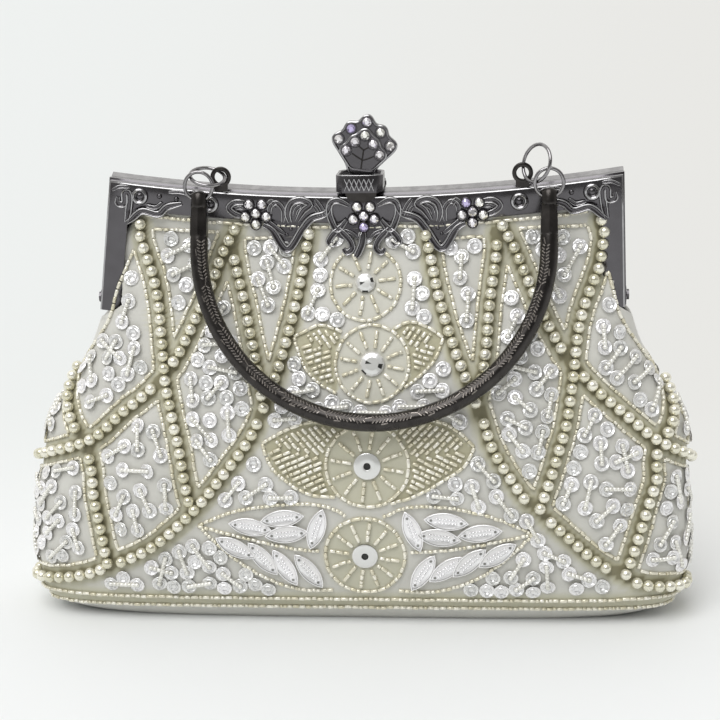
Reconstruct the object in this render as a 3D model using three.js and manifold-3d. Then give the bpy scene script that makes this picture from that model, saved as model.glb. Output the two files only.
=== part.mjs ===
// Metal frame purse: a beaded cloth bag that stands on its base, held by a hinged frame of channel
// section with cast ornament, a fan shaped clasp knob and a rigid handle hung on jump rings.
// Millimetres, +Z up, front towards -Y, origin at the centre of the flat base. Heights in the values
// below are measured from the hem, which stands baseBand above the base.
import * as THREE from 'three';
import { mergeVertices } from 'three/addons/utils/BufferGeometryUtils.js';
import Module from 'manifold-3d';

const wasm = await Module();
wasm.setup();

// Frame: two channel halves that meet at y = 0
const frameTop = 163; // top edge at the middle of the arch
const frameRise = 7.3; // how much higher the corners stand
const frameHalfWidth = 99.3;
const legBottom = 118.5;
const legSplay = 4.3; // outward lean of a leg over its length
const legLean = 2.6; // both feet stand this far to the left, as the frame has settled
const barHeight = 11;
const legWidth = 9;
const innerBarHeight = 7;
const innerLegWidth = 6;
const halfDepth = 7.2;
const partingGap = 0.15; // each half stays this far from the plane between them
const plate = 1; // sheet thickness of the channel
const frontFace = -(partingGap + halfDepth);
const archSteps = 8;

// Hinge at the leg ends
const hingeHeight = legBottom + 3.4;
const earRadius = 3.4;
const earThickness = 1;
const hingeShift = legLean * 0.934; // the lean at the hinge's height
const earOuterX = 103.5;
const rivetRadius = 1.1;
const rivetHeadRadius = 2.1;
const rivetHeadHeight = 0.8;
const rivetHole = 1.5;
const clearance = 0.3; // between pieces, and round the rivets
const rivetSides = 10;

// Cloth bag
const baseBand = 5; // plain cloth between the base and the hem
const clothWall = 1.8;
const archBlendStart = 105; // the cloth takes up the curve of the frame from here
const archBlendEnd = 150;
const sectionSteps = 16; // facets across each panel
const bagSections = [
  { z: -baseBand, left: 121, right: 110, depth: 23, squareness: 4 },
  { z: -2.8, left: 126.5, right: 115.5, depth: 25.4, squareness: 5 },
  { z: 0, left: 130, right: 119, depth: 26.5, squareness: 6 },
  { z: 4, left: 135.2, right: 124, depth: 29.8, squareness: 6 },
  { z: 14, left: 136.2, right: 126, depth: 31.8, squareness: 5 },
  { z: 30, left: 136, right: 126.3, depth: 33, squareness: 3.9 },
  { z: 46, left: 135.4, right: 125.8, depth: 33, squareness: 3.2 },
  { z: 60, left: 133.8, right: 126.8, depth: 32, squareness: 2.9 },
  { z: 74, left: 129.2, right: 124.8, depth: 29.8, squareness: 2.7 },
  { z: 88, left: 119.6, right: 115.8, depth: 26.8, squareness: 2.7 },
  { z: 102, left: 111, right: 107, depth: 22.5, squareness: 2.8 },
  { z: 118, left: 104, right: 101.5, depth: 16.5, squareness: 3.2 },
  { z: 126, left: 101.5, right: 99.5, depth: 13, squareness: 3.6 },
  { z: 134, left: 99.5, right: 97.5, depth: 9.6, squareness: 4.2 },
  { z: 142, left: 96, right: 95, depth: 7.2, squareness: 5 },
  { z: 148, left: 89.5, right: 89.5, depth: 6.2, squareness: 7 },
  { z: 160, left: 88.4, right: 88.4, depth: 5.9, squareness: 8 },
];
const mouthHalfGap = 3; // side slits between the two panels above the hinges
const farOutside = 200; // beyond the whole purse, for cuts that run out of it

// Handle: a U of round bar that leans on the bag
const handleCentre = { x: 4, y: -13.2, z: 163 }; // middle of the line through its end holes
const handleHalfSpan = 66.6;
const handleArm = 19;
const handleLean = THREE.MathUtils.degToRad(16.3);
const handleRadius = 3.1;
const handleSteps = 28;
const shankLength = 11.5;
const shankRadius = 3.3;
const shankOverlap = 1; // how far the turned stretches run into each other
const eyeRadius = 3.2;
const eyeReach = 2.9; // how far the eye stands past its hole
const eyeLength = 3.4;
const eyeHole = 1.95;

// Jump rings and lugs
const wireRadius = 0.65;
const ringSteps = 16;
const lowerRingRadius = 5.4;
const ringDrop = 0.5; // the lower ring rests this far below the axis of the handle's hole
const lugRadius = 4;
const lugHole = 2.35;
const lugThickness = 1.1;
const lugFoot = 2.6; // half width of a lug's foot
const lugY = -5.6;
const lugSides = 14;
const ringSets = [
  {
    name: 'left', side: -1, lugX: -55.2, lugZ: 170.2,
    upperRadius: 6.6, upper: [-59.7, -9.34, 170.9], normal: [0.184, -0.357, 0.916],
  },
  {
    name: 'right', side: 1, lugX: 60.8, lugZ: 170.6,
    upperRadius: 7.2, upper: [65.98, -9.1, 174.61], normal: [0.726, 0.632, -0.27],
  },
];

// Clasp
const collarHalfWidth = 9;
const collarHalfDepth = 8.2;
const collarBottom = frameTop + 0.5;
const collarHeight = 7.2;
const collarChamfer = 2.4;
const claspHinge = { y: 10.5, z: 164.9 };
const knuckleRadius = 1.9;
const knuckleHole = 1.15;
const claspPinRadius = 0.85;
const claspPinLength = 15.6;
const knuckleHalfLength = 4;
const knuckleLength = 3.2;
const fanThickness = 2.6;
const fanTilt = THREE.MathUtils.degToRad(-8.5);
const fanFoot = { x: -0.6, z: collarBottom + collarHeight - 0.6 };
const scallopRadius = 2.75;
const fanLayer = 0.9; // the inner row of scallops stands this much proud
const fanStones = [
  { x: 0, z: 20.2, row: 'outer' },
  { x: -5.7, z: 16.9, row: 'outer' },
  { x: 5.7, z: 16.9, row: 'outer' },
  { x: -9.95, z: 12.3, row: 'outer' },
  { x: 9.95, z: 12.3, row: 'outer' },
  { x: 0, z: 15.1, row: 'inner' },
  { x: -3.55, z: 12.2, row: 'inner' },
  { x: 3.55, z: 12.2, row: 'inner' },
  { x: -6.5, z: 8.4, row: 'inner' },
  { x: 6.5, z: 8.4, row: 'inner' },
];

// Outlines of the fan's two layers between their scallops, as [x, z]
const outerOutline = [
  [-5.1, -1], [5.1, -1], [5.1, 2.4], [11.6, 10.4], [6, 17], [0, 20.4], [-6, 17], [-11.6, 10.4], [-5.1, 2.4],
];
const innerOutline = [
  [-4.3, 1.6], [4.3, 1.6], [8.4, 6.8], [3.6, 12.4], [0, 15.2], [-3.6, 12.4], [-8.4, 6.8],
];

// Stones, flat backed with a table and eight crown facets
const stoneRadius = 1.6;
const stoneTable = 0.9;
const stoneHeight = 1.1;
const stoneGap = 0.3;

// Cast ornament: out is the distance from the middle, drop the distance below the top edge
const reliefDepth = 0.75; // how far the strokes' centre line stands in front of the plate
const reliefLean = 0.12; // outward lean of what hangs below the bar
const reliefRoot = 0.2; // how deep the ornament is sunk in the plate
const petals = 5;
const petalRadius = 4.3;
const seatRadius = 2.1;
const seatHeight = 1.4;
const flowers = [
  { name: 'centre', x: 0, drop: 8.2 },
  { name: 'left', x: -41.8, drop: 8.1 },
  { name: 'right', x: 41.8, drop: 8.1 },
];
const bosses = [
  { out: 59.6, drop: 5.7, radius: 3.2 },
  { out: 87, drop: 5.3, radius: 3.1 },
];
const beadDots = [
  { out: 79.2, drop: 4.4, radius: 1.1 },
  { out: 72.6, drop: 4.9, radius: 1.1 },
];
// Strokes of the relief on one side, as [out, drop] points of their centre lines
const strokes = [
  { name: 'heart loop', radius: 1.1, steps: 8,
    line: [[5.5, 4.1], [9.7, 2.2], [12.6, 3.2], [13.3, 6], [12.6, 9.4], [10.3, 13.4], [6.6, 9.6]] },
  { name: 'low curl', radius: 1.05, steps: 5,
    line: [[10.2, 13.4], [12.8, 16.2], [13.6, 18.2], [11.9, 19], [11.2, 17.6]] },
  { name: 'stem curl', radius: 1.05, steps: 5,
    line: [[9.8, 13], [5.6, 17.2], [4.6, 20.4], [6.6, 22.2], [8, 20.6]] },
  { name: 'pointed band', radius: 1.3, steps: 9,
    line: [[12.8, 4], [15, 7.4], [20.3, 9.4], [23.8, 13.4], [29.8, 21.4], [35.4, 14.4], [39, 12.4]] },
  { name: 'leaf in the point', radius: 1.15, steps: 7,
    line: [[28.6, 11], [29.4, 7.4], [28, 3.6], [24.2, 2.2], [20.6, 3.8], [23.4, 6.4], [25.8, 10.4]] },
  { name: 'leaf by the flower', radius: 1.05, steps: 5,
    line: [[45.2, 4.2], [49.8, 4.3], [52.2, 6.6], [49.6, 8.9], [46, 9.6]] },
  { name: 'corner curl', radius: 1.15, steps: 7,
    line: [[95.4, 6.4], [95.6, 9], [93, 8.8], [92.6, 4.6], [90.8, 5.4], [91.6, 11.6], [92.6, 16]] },
  { name: 'wave', radius: 1.15, steps: 6,
    line: [[92.6, 16.2], [90.6, 14.6], [86.2, 11], [80, 11.5], [76.4, 8.4], [70.6, 6.4]] },
];
const stem = { radius: 1.3, steps: 3, line: [[-0.2, 14.35], [-0.9, 19], [-3.2, 24]] };

// Discs at the centres of the four beaded wheels
const discThickness = 1.4;
const discOffset = 0.7;
const wheelDiscs = [
  { x: 0.5, z: 129.3, radius: 4 },
  { x: 3.3, z: 100, radius: 4.85 },
  { x: 1.2, z: 61.8, radius: 5.2 },
  { x: -0.3, z: 25.5, radius: 5 },
];

// Strings of pearls: routes on the front panel as [x, z], wrap ends go round to the side seam
const pearlRadius = 2;
const pearlOffset = 2.95; // centre line of a string above the cloth
const stringStep = 13;
const seamAngle = THREE.MathUtils.degToRad(88.4);
const pearlRoutes = {
  left: [
    { name: 'edge', line: [[-85.3, 144.5], [-82.4, 128], [-77.9, 95.3], [-73.1, 71.6], [-68.9, 47.1]] },
    { name: 'diagonal', wrapZ: 57, line: [[-51.9, 144], [-58.6, 130], [-64.7, 117.6], [-77.9, 95.3],
      [-93.7, 81.4], [-111.6, 67.5]] },
    { name: 'corner', wrapFirst: true, wrapZ: 93, line: [[-111.6, 67.5], [-107.1, 44.3], [-103, 20.5]] },
    { name: 'inner', line: [[-50.4, 143], [-47.3, 124.4], [-42.5, 104.1], [-38.6, 83.7]] },
    { name: 'sweep', wrapZ: 10, line: [[-22.4, 144.5], [-24.4, 132], [-33.2, 97.9], [-38.6, 83.7],
      [-45.1, 70.7], [-57.2, 55], [-68.9, 41.6], [-84.3, 28.1], [-101.7, 19.5], [-118.8, 13.6]] },
  ],
  right: [
    { name: 'edge', line: [[88.6, 141], [83.6, 118], [80.2, 98.2], [79, 88.4], [75.2, 69.9], [67.3, 45]] },
    { name: 'diagonal', wrapZ: 57, line: [[54.5, 146.5], [59.4, 136], [69.6, 114.8], [80.2, 98.2],
      [94.3, 83.9], [112.6, 68.1]] },
    { name: 'corner', wrapFirst: true, wrapZ: 88, line: [[113.2, 66.6], [111.5, 52.6], [105.9, 34.7],
      [100.5, 17.6]] },
    { name: 'inner', line: [[50.3, 143], [48.7, 125], [46.4, 102.4], [42.8, 85.6]] },
    { name: 'sweep', wrapZ: 9, line: [[24.8, 141.5], [26.3, 134.7], [29, 123], [39.2, 94.8], [43.4, 84.8],
      [49.4, 67.8], [60.1, 50.7], [67.3, 43.4], [89, 23.3], [105.2, 13.6], [117.3, 10.9]] },
  ],
};

// Materials
const gunmetal = { color: 0x3c3a3f, roughness: 0.35, metalness: 0.9 };
const wire = { color: 0x55535a, roughness: 0.25, metalness: 1 };
const satin = { color: 0xc9c7bd, roughness: 0.6, metalness: 0 };
const pearl = { color: 0xd9d3bf, roughness: 0.3, metalness: 0.1 };
const crystal = { color: 0xe9e8ee, roughness: 0.08, metalness: 0 };
const discFilm = { color: 0xd9dde0, roughness: 0.2, metalness: 0.3 };

const purse = new THREE.Group();
purse.name = 'metal_frame_purse';

function addPiece(name, shape, finish) {
  const geometry = shape.isBufferGeometry ? shape : toGeometry(shape);
  geometry.translate(0, 0, baseBand);
  geometry.computeVertexNormals();
  const mesh = new THREE.Mesh(geometry, new THREE.MeshStandardMaterial(finish));
  mesh.name = name;
  purse.add(mesh);
}

// A closed geometry as a solid that can be joined and cut
function solid(geometry) {
  const bare = geometry.clone();
  bare.deleteAttribute('normal');
  bare.deleteAttribute('uv');
  const merged = mergeVertices(bare, 1e-4);
  return new wasm.Manifold(new wasm.Mesh({
    numProp: 3,
    vertProperties: new Float32Array(merged.attributes.position.array),
    triVerts: new Uint32Array(merged.index.array),
  }));
}

function toGeometry(body) {
  const mesh = body.getMesh();
  const geometry = new THREE.BufferGeometry();
  geometry.setAttribute('position', new THREE.BufferAttribute(new Float32Array(mesh.vertProperties), 3));
  geometry.setIndex(new THREE.BufferAttribute(new Uint32Array(mesh.triVerts), 1));
  return geometry;
}

function join(bodies) {
  return bodies.reduce((whole, body) => whole.add(body));
}

function boxBetween(low, high) {
  const geometry = new THREE.BoxGeometry(high[0] - low[0], high[1] - low[1], high[2] - low[2]);
  geometry.translate((low[0] + high[0]) / 2, (low[1] + high[1]) / 2, (low[2] + high[2]) / 2);
  return solid(geometry);
}

// Round bar along X, centred at x
function barAlongX(radius, length, sides, x, y, z) {
  const geometry = new THREE.CylinderGeometry(radius, radius, length, sides);
  geometry.rotateZ(Math.PI / 2);
  geometry.translate(x, y, z);
  return geometry;
}

// Round boss along Y from its back face at y towards the front
function bossAlongY(backRadius, frontRadius, height, sides, x, y, z) {
  const geometry = new THREE.CylinderGeometry(backRadius, frontRadius, height, sides);
  geometry.translate(x, y - height / 2, z);
  return geometry;
}

function polygon(radius, sides) {
  const shape = new THREE.Shape();
  for (let i = 0; i < sides; i += 1) {
    const angle = (2 * Math.PI * (i + 0.5)) / sides;
    const point = [radius * Math.cos(angle), radius * Math.sin(angle)];
    if (i === 0) shape.moveTo(...point);
    else shape.lineTo(...point);
  }
  shape.closePath();
  return shape;
}

function tube(curve, radius, sides, steps) {
  return solid(new THREE.ExtrudeGeometry(polygon(radius, sides), { steps, extrudePath: curve }));
}

function archRise(x) {
  return frameRise * (x / frameHalfWidth) ** 2;
}

function archHeight(x) {
  return frameTop + archRise(x);
}

// Bag: sections are interpolated between the table's rows
function sectionAt(z) {
  const last = bagSections.length - 1;
  const upper = Math.min(Math.max(bagSections.findIndex((row) => row.z >= z), 1), last);
  const from = bagSections[z > bagSections[last].z ? last : upper - 1];
  const to = bagSections[z > bagSections[last].z ? last : upper];
  const t = to.z > from.z ? THREE.MathUtils.clamp((z - from.z) / (to.z - from.z), 0, 1) : 0;
  const mix = (key) => THREE.MathUtils.lerp(from[key], to[key], t);
  return { left: mix('left'), right: mix('right'), depth: mix('depth'), squareness: mix('squareness') };
}

// Point of the cloth at an angle across the panel, -90 degrees at the left seam
function clothPoint(angle, z, panel, inset = 0) {
  const section = sectionAt(z);
  const across = Math.sin(angle);
  const reach = (across < 0 ? section.left : section.right) - inset;
  const x = across * reach;
  const fullness = (1 - Math.abs(across) ** section.squareness) ** (1 / section.squareness);
  const lift = archRise(x) * THREE.MathUtils.smoothstep(z, archBlendStart, archBlendEnd);
  return new THREE.Vector3(x, panel * (section.depth - inset) * fullness, z + lift);
}

function clothLoft(levels, inset) {
  const ring = 2 * sectionSteps;
  const points = [];
  for (const z of levels) {
    for (let j = 0; j < ring; j += 1) {
      const front = j < sectionSteps;
      const turn = (Math.PI * (front ? j : ring - j)) / sectionSteps - Math.PI / 2;
      points.push(clothPoint(turn, z, front ? -1 : 1, inset));
    }
  }
  const bottom = points.push(new THREE.Vector3(0, 0, levels[0])) - 1;
  const top = points.push(new THREE.Vector3(0, 0, levels[levels.length - 1])) - 1;
  const lastRing = (levels.length - 1) * ring;
  const triangles = [];
  for (let j = 0; j < ring; j += 1) {
    const next = (j + 1) % ring;
    triangles.push(bottom, next, j, top, lastRing + j, lastRing + next);
    for (let i = 0; i < lastRing; i += ring) {
      triangles.push(i + j, i + next, i + ring + next, i + j, i + ring + next, i + ring + j);
    }
  }
  const geometry = new THREE.BufferGeometry().setFromPoints(points);
  geometry.setIndex(triangles);
  return solid(geometry);
}

function bagBody() {
  const levels = bagSections.map((row) => row.z);
  const topLevel = levels[levels.length - 1];
  const innerLevels = [levels[0] + clothWall, ...levels.slice(1), topLevel + archRise(frameHalfWidth)];
  const legInner = frameHalfWidth - legWidth - clearance;
  const legDepth = partingGap + halfDepth + clearance;
  const slitBottom = legBottom - 1;
  let body = clothLoft(levels, 0).subtract(clothLoft(innerLevels, clothWall));
  const cuts = [
    { inner: legInner, halfGap: legDepth },
    { inner: frameHalfWidth / 2, halfGap: mouthHalfGap },
  ];
  for (const { inner, halfGap } of cuts) {
    for (const [low, high] of [[-farOutside, -inner], [inner, farOutside]]) {
      body = body.subtract(boxBetween([low, -halfGap, slitBottom], [high, halfGap, farOutside]));
    }
  }
  return body;
}

// Frame: edge line of the arch and its legs, set in from the outside
function frameEdge(topInset, legInset, lean) {
  const cornerX = frameHalfWidth - legInset;
  const footX = cornerX + legSplay;
  const points = [new THREE.Vector2(-footX - lean, legBottom)];
  for (let i = 0; i <= archSteps; i += 1) {
    const x = cornerX * ((2 * i) / archSteps - 1);
    points.push(new THREE.Vector2(x, archHeight(x) - topInset));
  }
  points.push(new THREE.Vector2(footX - lean, legBottom));
  return points;
}

// Band of the arch as a sheet whose rear face is at rearY
function frameBand(topInset, legInset, depth, rearY, lean) {
  const shape = new THREE.Shape([...frameEdge(0, 0, lean), ...frameEdge(topInset, legInset, lean).reverse()]);
  const geometry = new THREE.ExtrudeGeometry(shape, { depth, bevelEnabled: false });
  geometry.rotateX(Math.PI / 2);
  geometry.translate(0, rearY, 0);
  return geometry;
}

function channelHalf(turn) {
  const lean = turn === 0 ? legLean : -legLean;
  const sheets = [
    frameBand(barHeight, legWidth, plate, frontFace + plate, lean),
    frameBand(plate, plate, halfDepth, -partingGap, lean),
    frameBand(innerBarHeight, innerLegWidth, plate, -partingGap, lean),
  ];
  return join(sheets.map((sheet) => solid(sheet.rotateZ(turn))));
}

function hingeEar(side, outerX, towards) {
  const x = side * (outerX - earThickness / 2) - hingeShift;
  const disc = solid(barAlongX(earRadius, earThickness, 12, x, 0, hingeHeight));
  const tab = [towards * (partingGap + halfDepth - plate / 2), 0].sort((a, b) => a - b);
  const half = earThickness / 2;
  return disc.add(boxBetween([x - half, tab[0], legBottom], [x + half, tab[1], hingeHeight + earRadius]));
}

// Room for the other half's ear
function earRoom(side, outerX, towards) {
  const x = [side * (outerX + clearance), side * (outerX - earThickness - clearance)].sort((a, b) => a - b)
    .map((edge) => edge - hingeShift);
  const y = [0, towards * (earRadius + clearance)].sort((a, b) => a - b);
  return boxBetween([x[0], y[0], legBottom - 1], [x[1], y[1], hingeHeight + earRadius + clearance]);
}

const earInnerX = earOuterX - earThickness - clearance;
const rivetInnerX = earInnerX - earThickness - clearance; // the inner head's bearing face
const rivetOuterX = earOuterX + clearance;

// Room in the sheets behind the ears for a rivet's inner head
function headRoom(side) {
  const reach = rivetHeadRadius + clearance;
  const x = [side * (rivetInnerX - rivetHeadHeight - clearance), side * (earInnerX - earThickness)];
  const [low, high] = x.sort((a, b) => a - b).map((edge) => edge - hingeShift);
  return boxBetween([low, -reach, hingeHeight - reach], [high, reach, hingeHeight + reach]);
}

function withHinges(half, outerX, otherX, towards) {
  let body = half;
  for (const side of [-1, 1]) {
    const middle = (side * (rivetInnerX + rivetOuterX)) / 2 - hingeShift;
    const length = rivetOuterX - rivetInnerX + rivetHeadHeight;
    body = body.subtract(earRoom(side, otherX, towards)).subtract(headRoom(side));
    body = body.add(hingeEar(side, outerX, towards));
    body = body.subtract(solid(barAlongX(rivetHole, length, rivetSides, middle, 0, hingeHeight)));
  }
  return body;
}

function reliefPoint(x, drop) {
  const hang = Math.max(0, drop - barHeight);
  return new THREE.Vector3(x, frontFace - reliefDepth - reliefLean * hang, archHeight(x) - drop);
}

function reliefStroke(stroke, side) {
  const points = stroke.line.map(([out, drop]) => reliefPoint(side * out, drop));
  return tube(new THREE.CatmullRomCurve3(points), stroke.radius, 4, stroke.steps);
}

function petalPlaces(flower) {
  const places = [{ x: flower.x, drop: flower.drop }];
  for (let i = 0; i < petals; i += 1) {
    const angle = (2 * Math.PI * i) / petals;
    places.push({
      x: flower.x + petalRadius * Math.sin(angle),
      drop: flower.drop + petalRadius * Math.cos(angle),
    });
  }
  return places;
}

// Five lobed plate that carries a flower's stones
function flowerSeat(flower) {
  const steps = 4 * petals;
  const outline = [];
  for (let i = 0; i < steps; i += 1) {
    const angle = (2 * Math.PI * i) / steps;
    const radius = petalRadius + seatRadius * (0.55 + 0.45 * Math.cos(petals * angle));
    const drop = flower.drop + radius * Math.cos(angle);
    outline.push(new THREE.Vector2(flower.x + radius * Math.sin(angle), archHeight(flower.x) - drop));
  }
  const depth = seatHeight + plate / 2;
  const geometry = new THREE.ExtrudeGeometry(new THREE.Shape(outline), { depth, bevelEnabled: false });
  geometry.rotateX(Math.PI / 2);
  geometry.translate(0, frontFace + plate / 2, 0);
  return solid(geometry);
}

function ornament() {
  const raised = [reliefStroke(stem, 1)];
  for (const side of [-1, 1]) {
    raised.push(...strokes.map((stroke) => reliefStroke(stroke, side)));
    for (const { out, drop, radius } of bosses) {
      const profile = [[0, 0], [radius, 0], [0.75 * radius, 1.5], [0.4 * radius, 0.8], [0, 0.9]];
      const lathe = new THREE.LatheGeometry(profile.map((p) => new THREE.Vector2(...p)), 10);
      lathe.rotateX(Math.PI);
      lathe.translate(side * out, frontFace + reliefRoot, archHeight(out) - drop);
      raised.push(solid(lathe));
    }
    for (const { out, drop, radius } of beadDots) {
      const z = archHeight(out) - drop;
      const dot = bossAlongY(radius, radius / 2, radius, 6, side * out, frontFace + reliefRoot, z);
      raised.push(solid(dot));
    }
  }
  raised.push(...flowers.map(flowerSeat));
  return join(raised);
}

function lug({ lugX, lugZ }) {
  const half = lugThickness / 2;
  const disc = solid(bossAlongY(lugRadius, lugRadius, lugThickness, lugSides, lugX, lugY + half, lugZ));
  const foot = boxBetween(
    [lugX - lugFoot, lugY - half, archHeight(lugX) - plate / 2],
    [lugX + lugFoot, lugY + half, lugZ - lugHole],
  );
  const hole = bossAlongY(lugHole, lugHole, 3 * lugThickness, lugSides, lugX, lugY + 3 * half, lugZ);
  return disc.add(foot).subtract(solid(hole));
}

function frontFrame() {
  const channel = withHinges(channelHalf(0), earOuterX, earInnerX, -1);
  return join([channel, ornament(), ...ringSets.map(lug)]);
}

function backFrame() {
  let body = withHinges(channelHalf(Math.PI), earInnerX, earOuterX, 1);
  const reach = knuckleHalfLength + clearance + knuckleLength / 2;
  const armHeight = 4;
  for (const side of [-1, 1]) {
    const x = side * reach;
    const knuckle = solid(barAlongX(knuckleRadius, knuckleLength, 10, x, claspHinge.y, claspHinge.z));
    const half = knuckleLength / 2;
    const armBottom = frameTop - armHeight;
    const arm = boxBetween([x - half, -frontFace - plate / 2, armBottom], [x + half, claspHinge.y, frameTop]);
    const riser = boxBetween(
      [x - half, collarHalfDepth + clearance, armBottom],
      [x + half, claspHinge.y, claspHinge.z],
    );
    body = join([body, knuckle, arm, riser]);
  }
  return body.subtract(knuckleBore());
}

function knuckleBore() {
  return solid(barAlongX(knuckleHole, frameHalfWidth / 2, 10, 0, claspHinge.y, claspHinge.z));
}

function rivet(side) {
  const middle = (side * (rivetInnerX + rivetOuterX)) / 2 - hingeShift;
  const length = rivetOuterX - rivetInnerX + rivetHeadHeight;
  const shank = solid(barAlongX(rivetRadius, length, rivetSides, middle, 0, hingeHeight));
  const heads = [rivetInnerX - rivetHeadHeight / 2, rivetOuterX + rivetHeadHeight / 2].map((x) =>
    solid(barAlongX(rivetHeadRadius, rivetHeadHeight, rivetSides, side * x - hingeShift, 0, hingeHeight)));
  return join([shank, ...heads]);
}

// Handle: distances along it are counted from the end holes, down the lean
function handlePoint(x, along) {
  return new THREE.Vector3(
    handleCentre.x + x,
    handleCentre.y - along * Math.sin(handleLean),
    handleCentre.z - along * Math.cos(handleLean),
  );
}

class HandleLine extends THREE.Curve {
  getPoint(t, target = new THREE.Vector3()) {
    const arm = handleArm - shankLength - eyeLength + shankOverlap;
    const bend = Math.PI * handleHalfSpan;
    const s = t * (2 * arm + bend);
    const start = handleArm - arm;
    if (s < arm) return target.copy(handlePoint(-handleHalfSpan, start + s));
    if (s > arm + bend) return target.copy(handlePoint(handleHalfSpan, handleArm - (s - arm - bend)));
    const angle = (s - arm) / handleHalfSpan;
    const x = -handleHalfSpan * Math.cos(angle);
    return target.copy(handlePoint(x, handleArm + handleHalfSpan * Math.sin(angle)));
  }
}

function handleEnd(side) {
  const turned = (topRadius, bottomRadius, from, to, sides) => {
    const geometry = new THREE.CylinderGeometry(topRadius, bottomRadius, to - from, sides);
    geometry.translate(0, -(from + to) / 2, 0);
    geometry.rotateX(Math.PI / 2 - handleLean);
    geometry.translate(handleCentre.x + side * handleHalfSpan, handleCentre.y, handleCentre.z);
    return solid(geometry);
  };
  const dome = turned(eyeRadius * 0.55, eyeRadius, -eyeReach, -eyeReach / 2, 10);
  const eye = turned(eyeRadius, eyeRadius, -eyeReach / 2, eyeLength, 10);
  const shank = turned(shankRadius, shankRadius, eyeLength - shankOverlap / 2, eyeLength + shankLength, 6);
  const x = handleCentre.x + side * handleHalfSpan;
  const hole = solid(barAlongX(eyeHole, 4 * eyeRadius, 10, x, handleCentre.y, handleCentre.z));
  return join([dome, eye, shank]).subtract(hole);
}

function handle() {
  const bar = tube(new HandleLine(), handleRadius, 10, handleSteps);
  return join([bar, handleEnd(-1), handleEnd(1)]);
}

function ring(radius, centre, normal) {
  const geometry = new THREE.TorusGeometry(radius, wireRadius, 5, ringSteps);
  const turn = new THREE.Quaternion().setFromUnitVectors(new THREE.Vector3(0, 0, 1), normal.normalize());
  geometry.applyQuaternion(turn);
  geometry.translate(centre.x, centre.y, centre.z);
  return solid(geometry);
}

// Clasp: collar and fan are one casting
function fanPlace(x, z) {
  const cos = Math.cos(fanTilt);
  const sin = Math.sin(fanTilt);
  return { x: fanFoot.x + x * cos - z * sin, z: fanFoot.z + x * sin + z * cos };
}

function fanPlate(outline, stones, thickness, rearY) {
  const shape = new THREE.Shape(outline.map(([x, z]) => {
    const place = fanPlace(x, z);
    return new THREE.Vector2(place.x, place.z);
  }));
  const geometry = new THREE.ExtrudeGeometry(shape, { depth: thickness, bevelEnabled: false });
  geometry.rotateX(Math.PI / 2);
  geometry.translate(0, rearY, 0);
  const scallops = stones.map((stone) => {
    const place = fanPlace(stone.x, stone.z);
    return solid(bossAlongY(scallopRadius, scallopRadius, thickness, 10, place.x, rearY, place.z));
  });
  return join([solid(geometry), ...scallops]);
}

function claspKnob() {
  const w = collarHalfWidth;
  const d = collarHalfDepth;
  const c = collarChamfer;
  const corners = [
    [c - w, -d], [w - c, -d], [w, c - d], [w, d - c],
    [w - c, d], [c - w, d], [-w, d - c], [-w, c - d],
  ];
  const plan = new THREE.Shape(corners.map(([x, y]) => new THREE.Vector2(x, y)));
  const collarGeometry = new THREE.ExtrudeGeometry(plan, { depth: collarHeight, bevelEnabled: false });
  collarGeometry.translate(0, 0, collarBottom);
  const outer = fanStones.filter((stone) => stone.row === 'outer');
  const inner = fanStones.filter((stone) => stone.row === 'inner');
  const rear = fanThickness / 2;
  const fan = fanPlate(outerOutline, outer, fanThickness, rear);
  const layer = fanPlate(innerOutline, inner, fanThickness / 2 + fanLayer, 0);
  const knuckle = solid(barAlongX(knuckleRadius, 2 * knuckleHalfLength, 10, 0, claspHinge.y, claspHinge.z));
  const arm = boxBetween(
    [-knuckleHalfLength, d - plate / 2, claspHinge.z - knuckleRadius * 0.7],
    [knuckleHalfLength, claspHinge.y, claspHinge.z + knuckleRadius * 0.7],
  );
  return join([solid(collarGeometry), fan, layer, knuckle, arm]).subtract(knuckleBore());
}

function stone(x, rearY, z) {
  return bossAlongY(stoneRadius, stoneTable, stoneHeight, 8, x, rearY - stoneGap, z);
}

// Outward direction of the front panel, from its slopes
function frontNormal(angle, z) {
  const step = 0.01;
  const across = clothPoint(angle + step, z, -1).sub(clothPoint(angle - step, z, -1));
  const up = clothPoint(angle, z + 1, -1).sub(clothPoint(angle, z - 1, -1));
  return across.cross(up).normalize();
}

function angleAt(x, z) {
  const section = sectionAt(z);
  const reach = x < 0 ? section.left : section.right;
  return Math.asin(THREE.MathUtils.clamp(x / reach, -Math.sin(seamAngle), Math.sin(seamAngle)));
}

function wheelDisc({ x, z, radius }) {
  const level = z - archRise(x) * THREE.MathUtils.smoothstep(z, archBlendStart, archBlendEnd);
  const angle = angleAt(x, level);
  const normal = frontNormal(angle, level);
  const geometry = new THREE.CylinderGeometry(radius * 0.9, radius, discThickness, 12);
  geometry.applyQuaternion(new THREE.Quaternion().setFromUnitVectors(new THREE.Vector3(0, 1, 0), normal));
  const centre = clothPoint(angle, level, -1).addScaledVector(normal, discOffset + discThickness / 2);
  geometry.translate(centre.x, centre.y, centre.z);
  return geometry;
}

function pearlString({ line, wrapZ, wrapFirst }, side) {
  const flat = line.map(([x, z]) => new THREE.Vector2(angleAt(x, z), z));
  if (wrapZ) {
    const end = new THREE.Vector2(side * seamAngle, wrapZ);
    if (wrapFirst) flat.unshift(end);
    else flat.push(end);
  }
  const route = new THREE.SplineCurve(flat);
  const samples = 16 * flat.length;
  const points = route.getPoints(samples).map((p) =>
    clothPoint(p.x, p.y, -1).addScaledVector(frontNormal(p.x, p.y), pearlOffset));
  const curve = new THREE.CatmullRomCurve3(points);
  return tube(curve, pearlRadius, 8, Math.max(2, Math.round(curve.getLength() / stringStep)));
}

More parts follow.
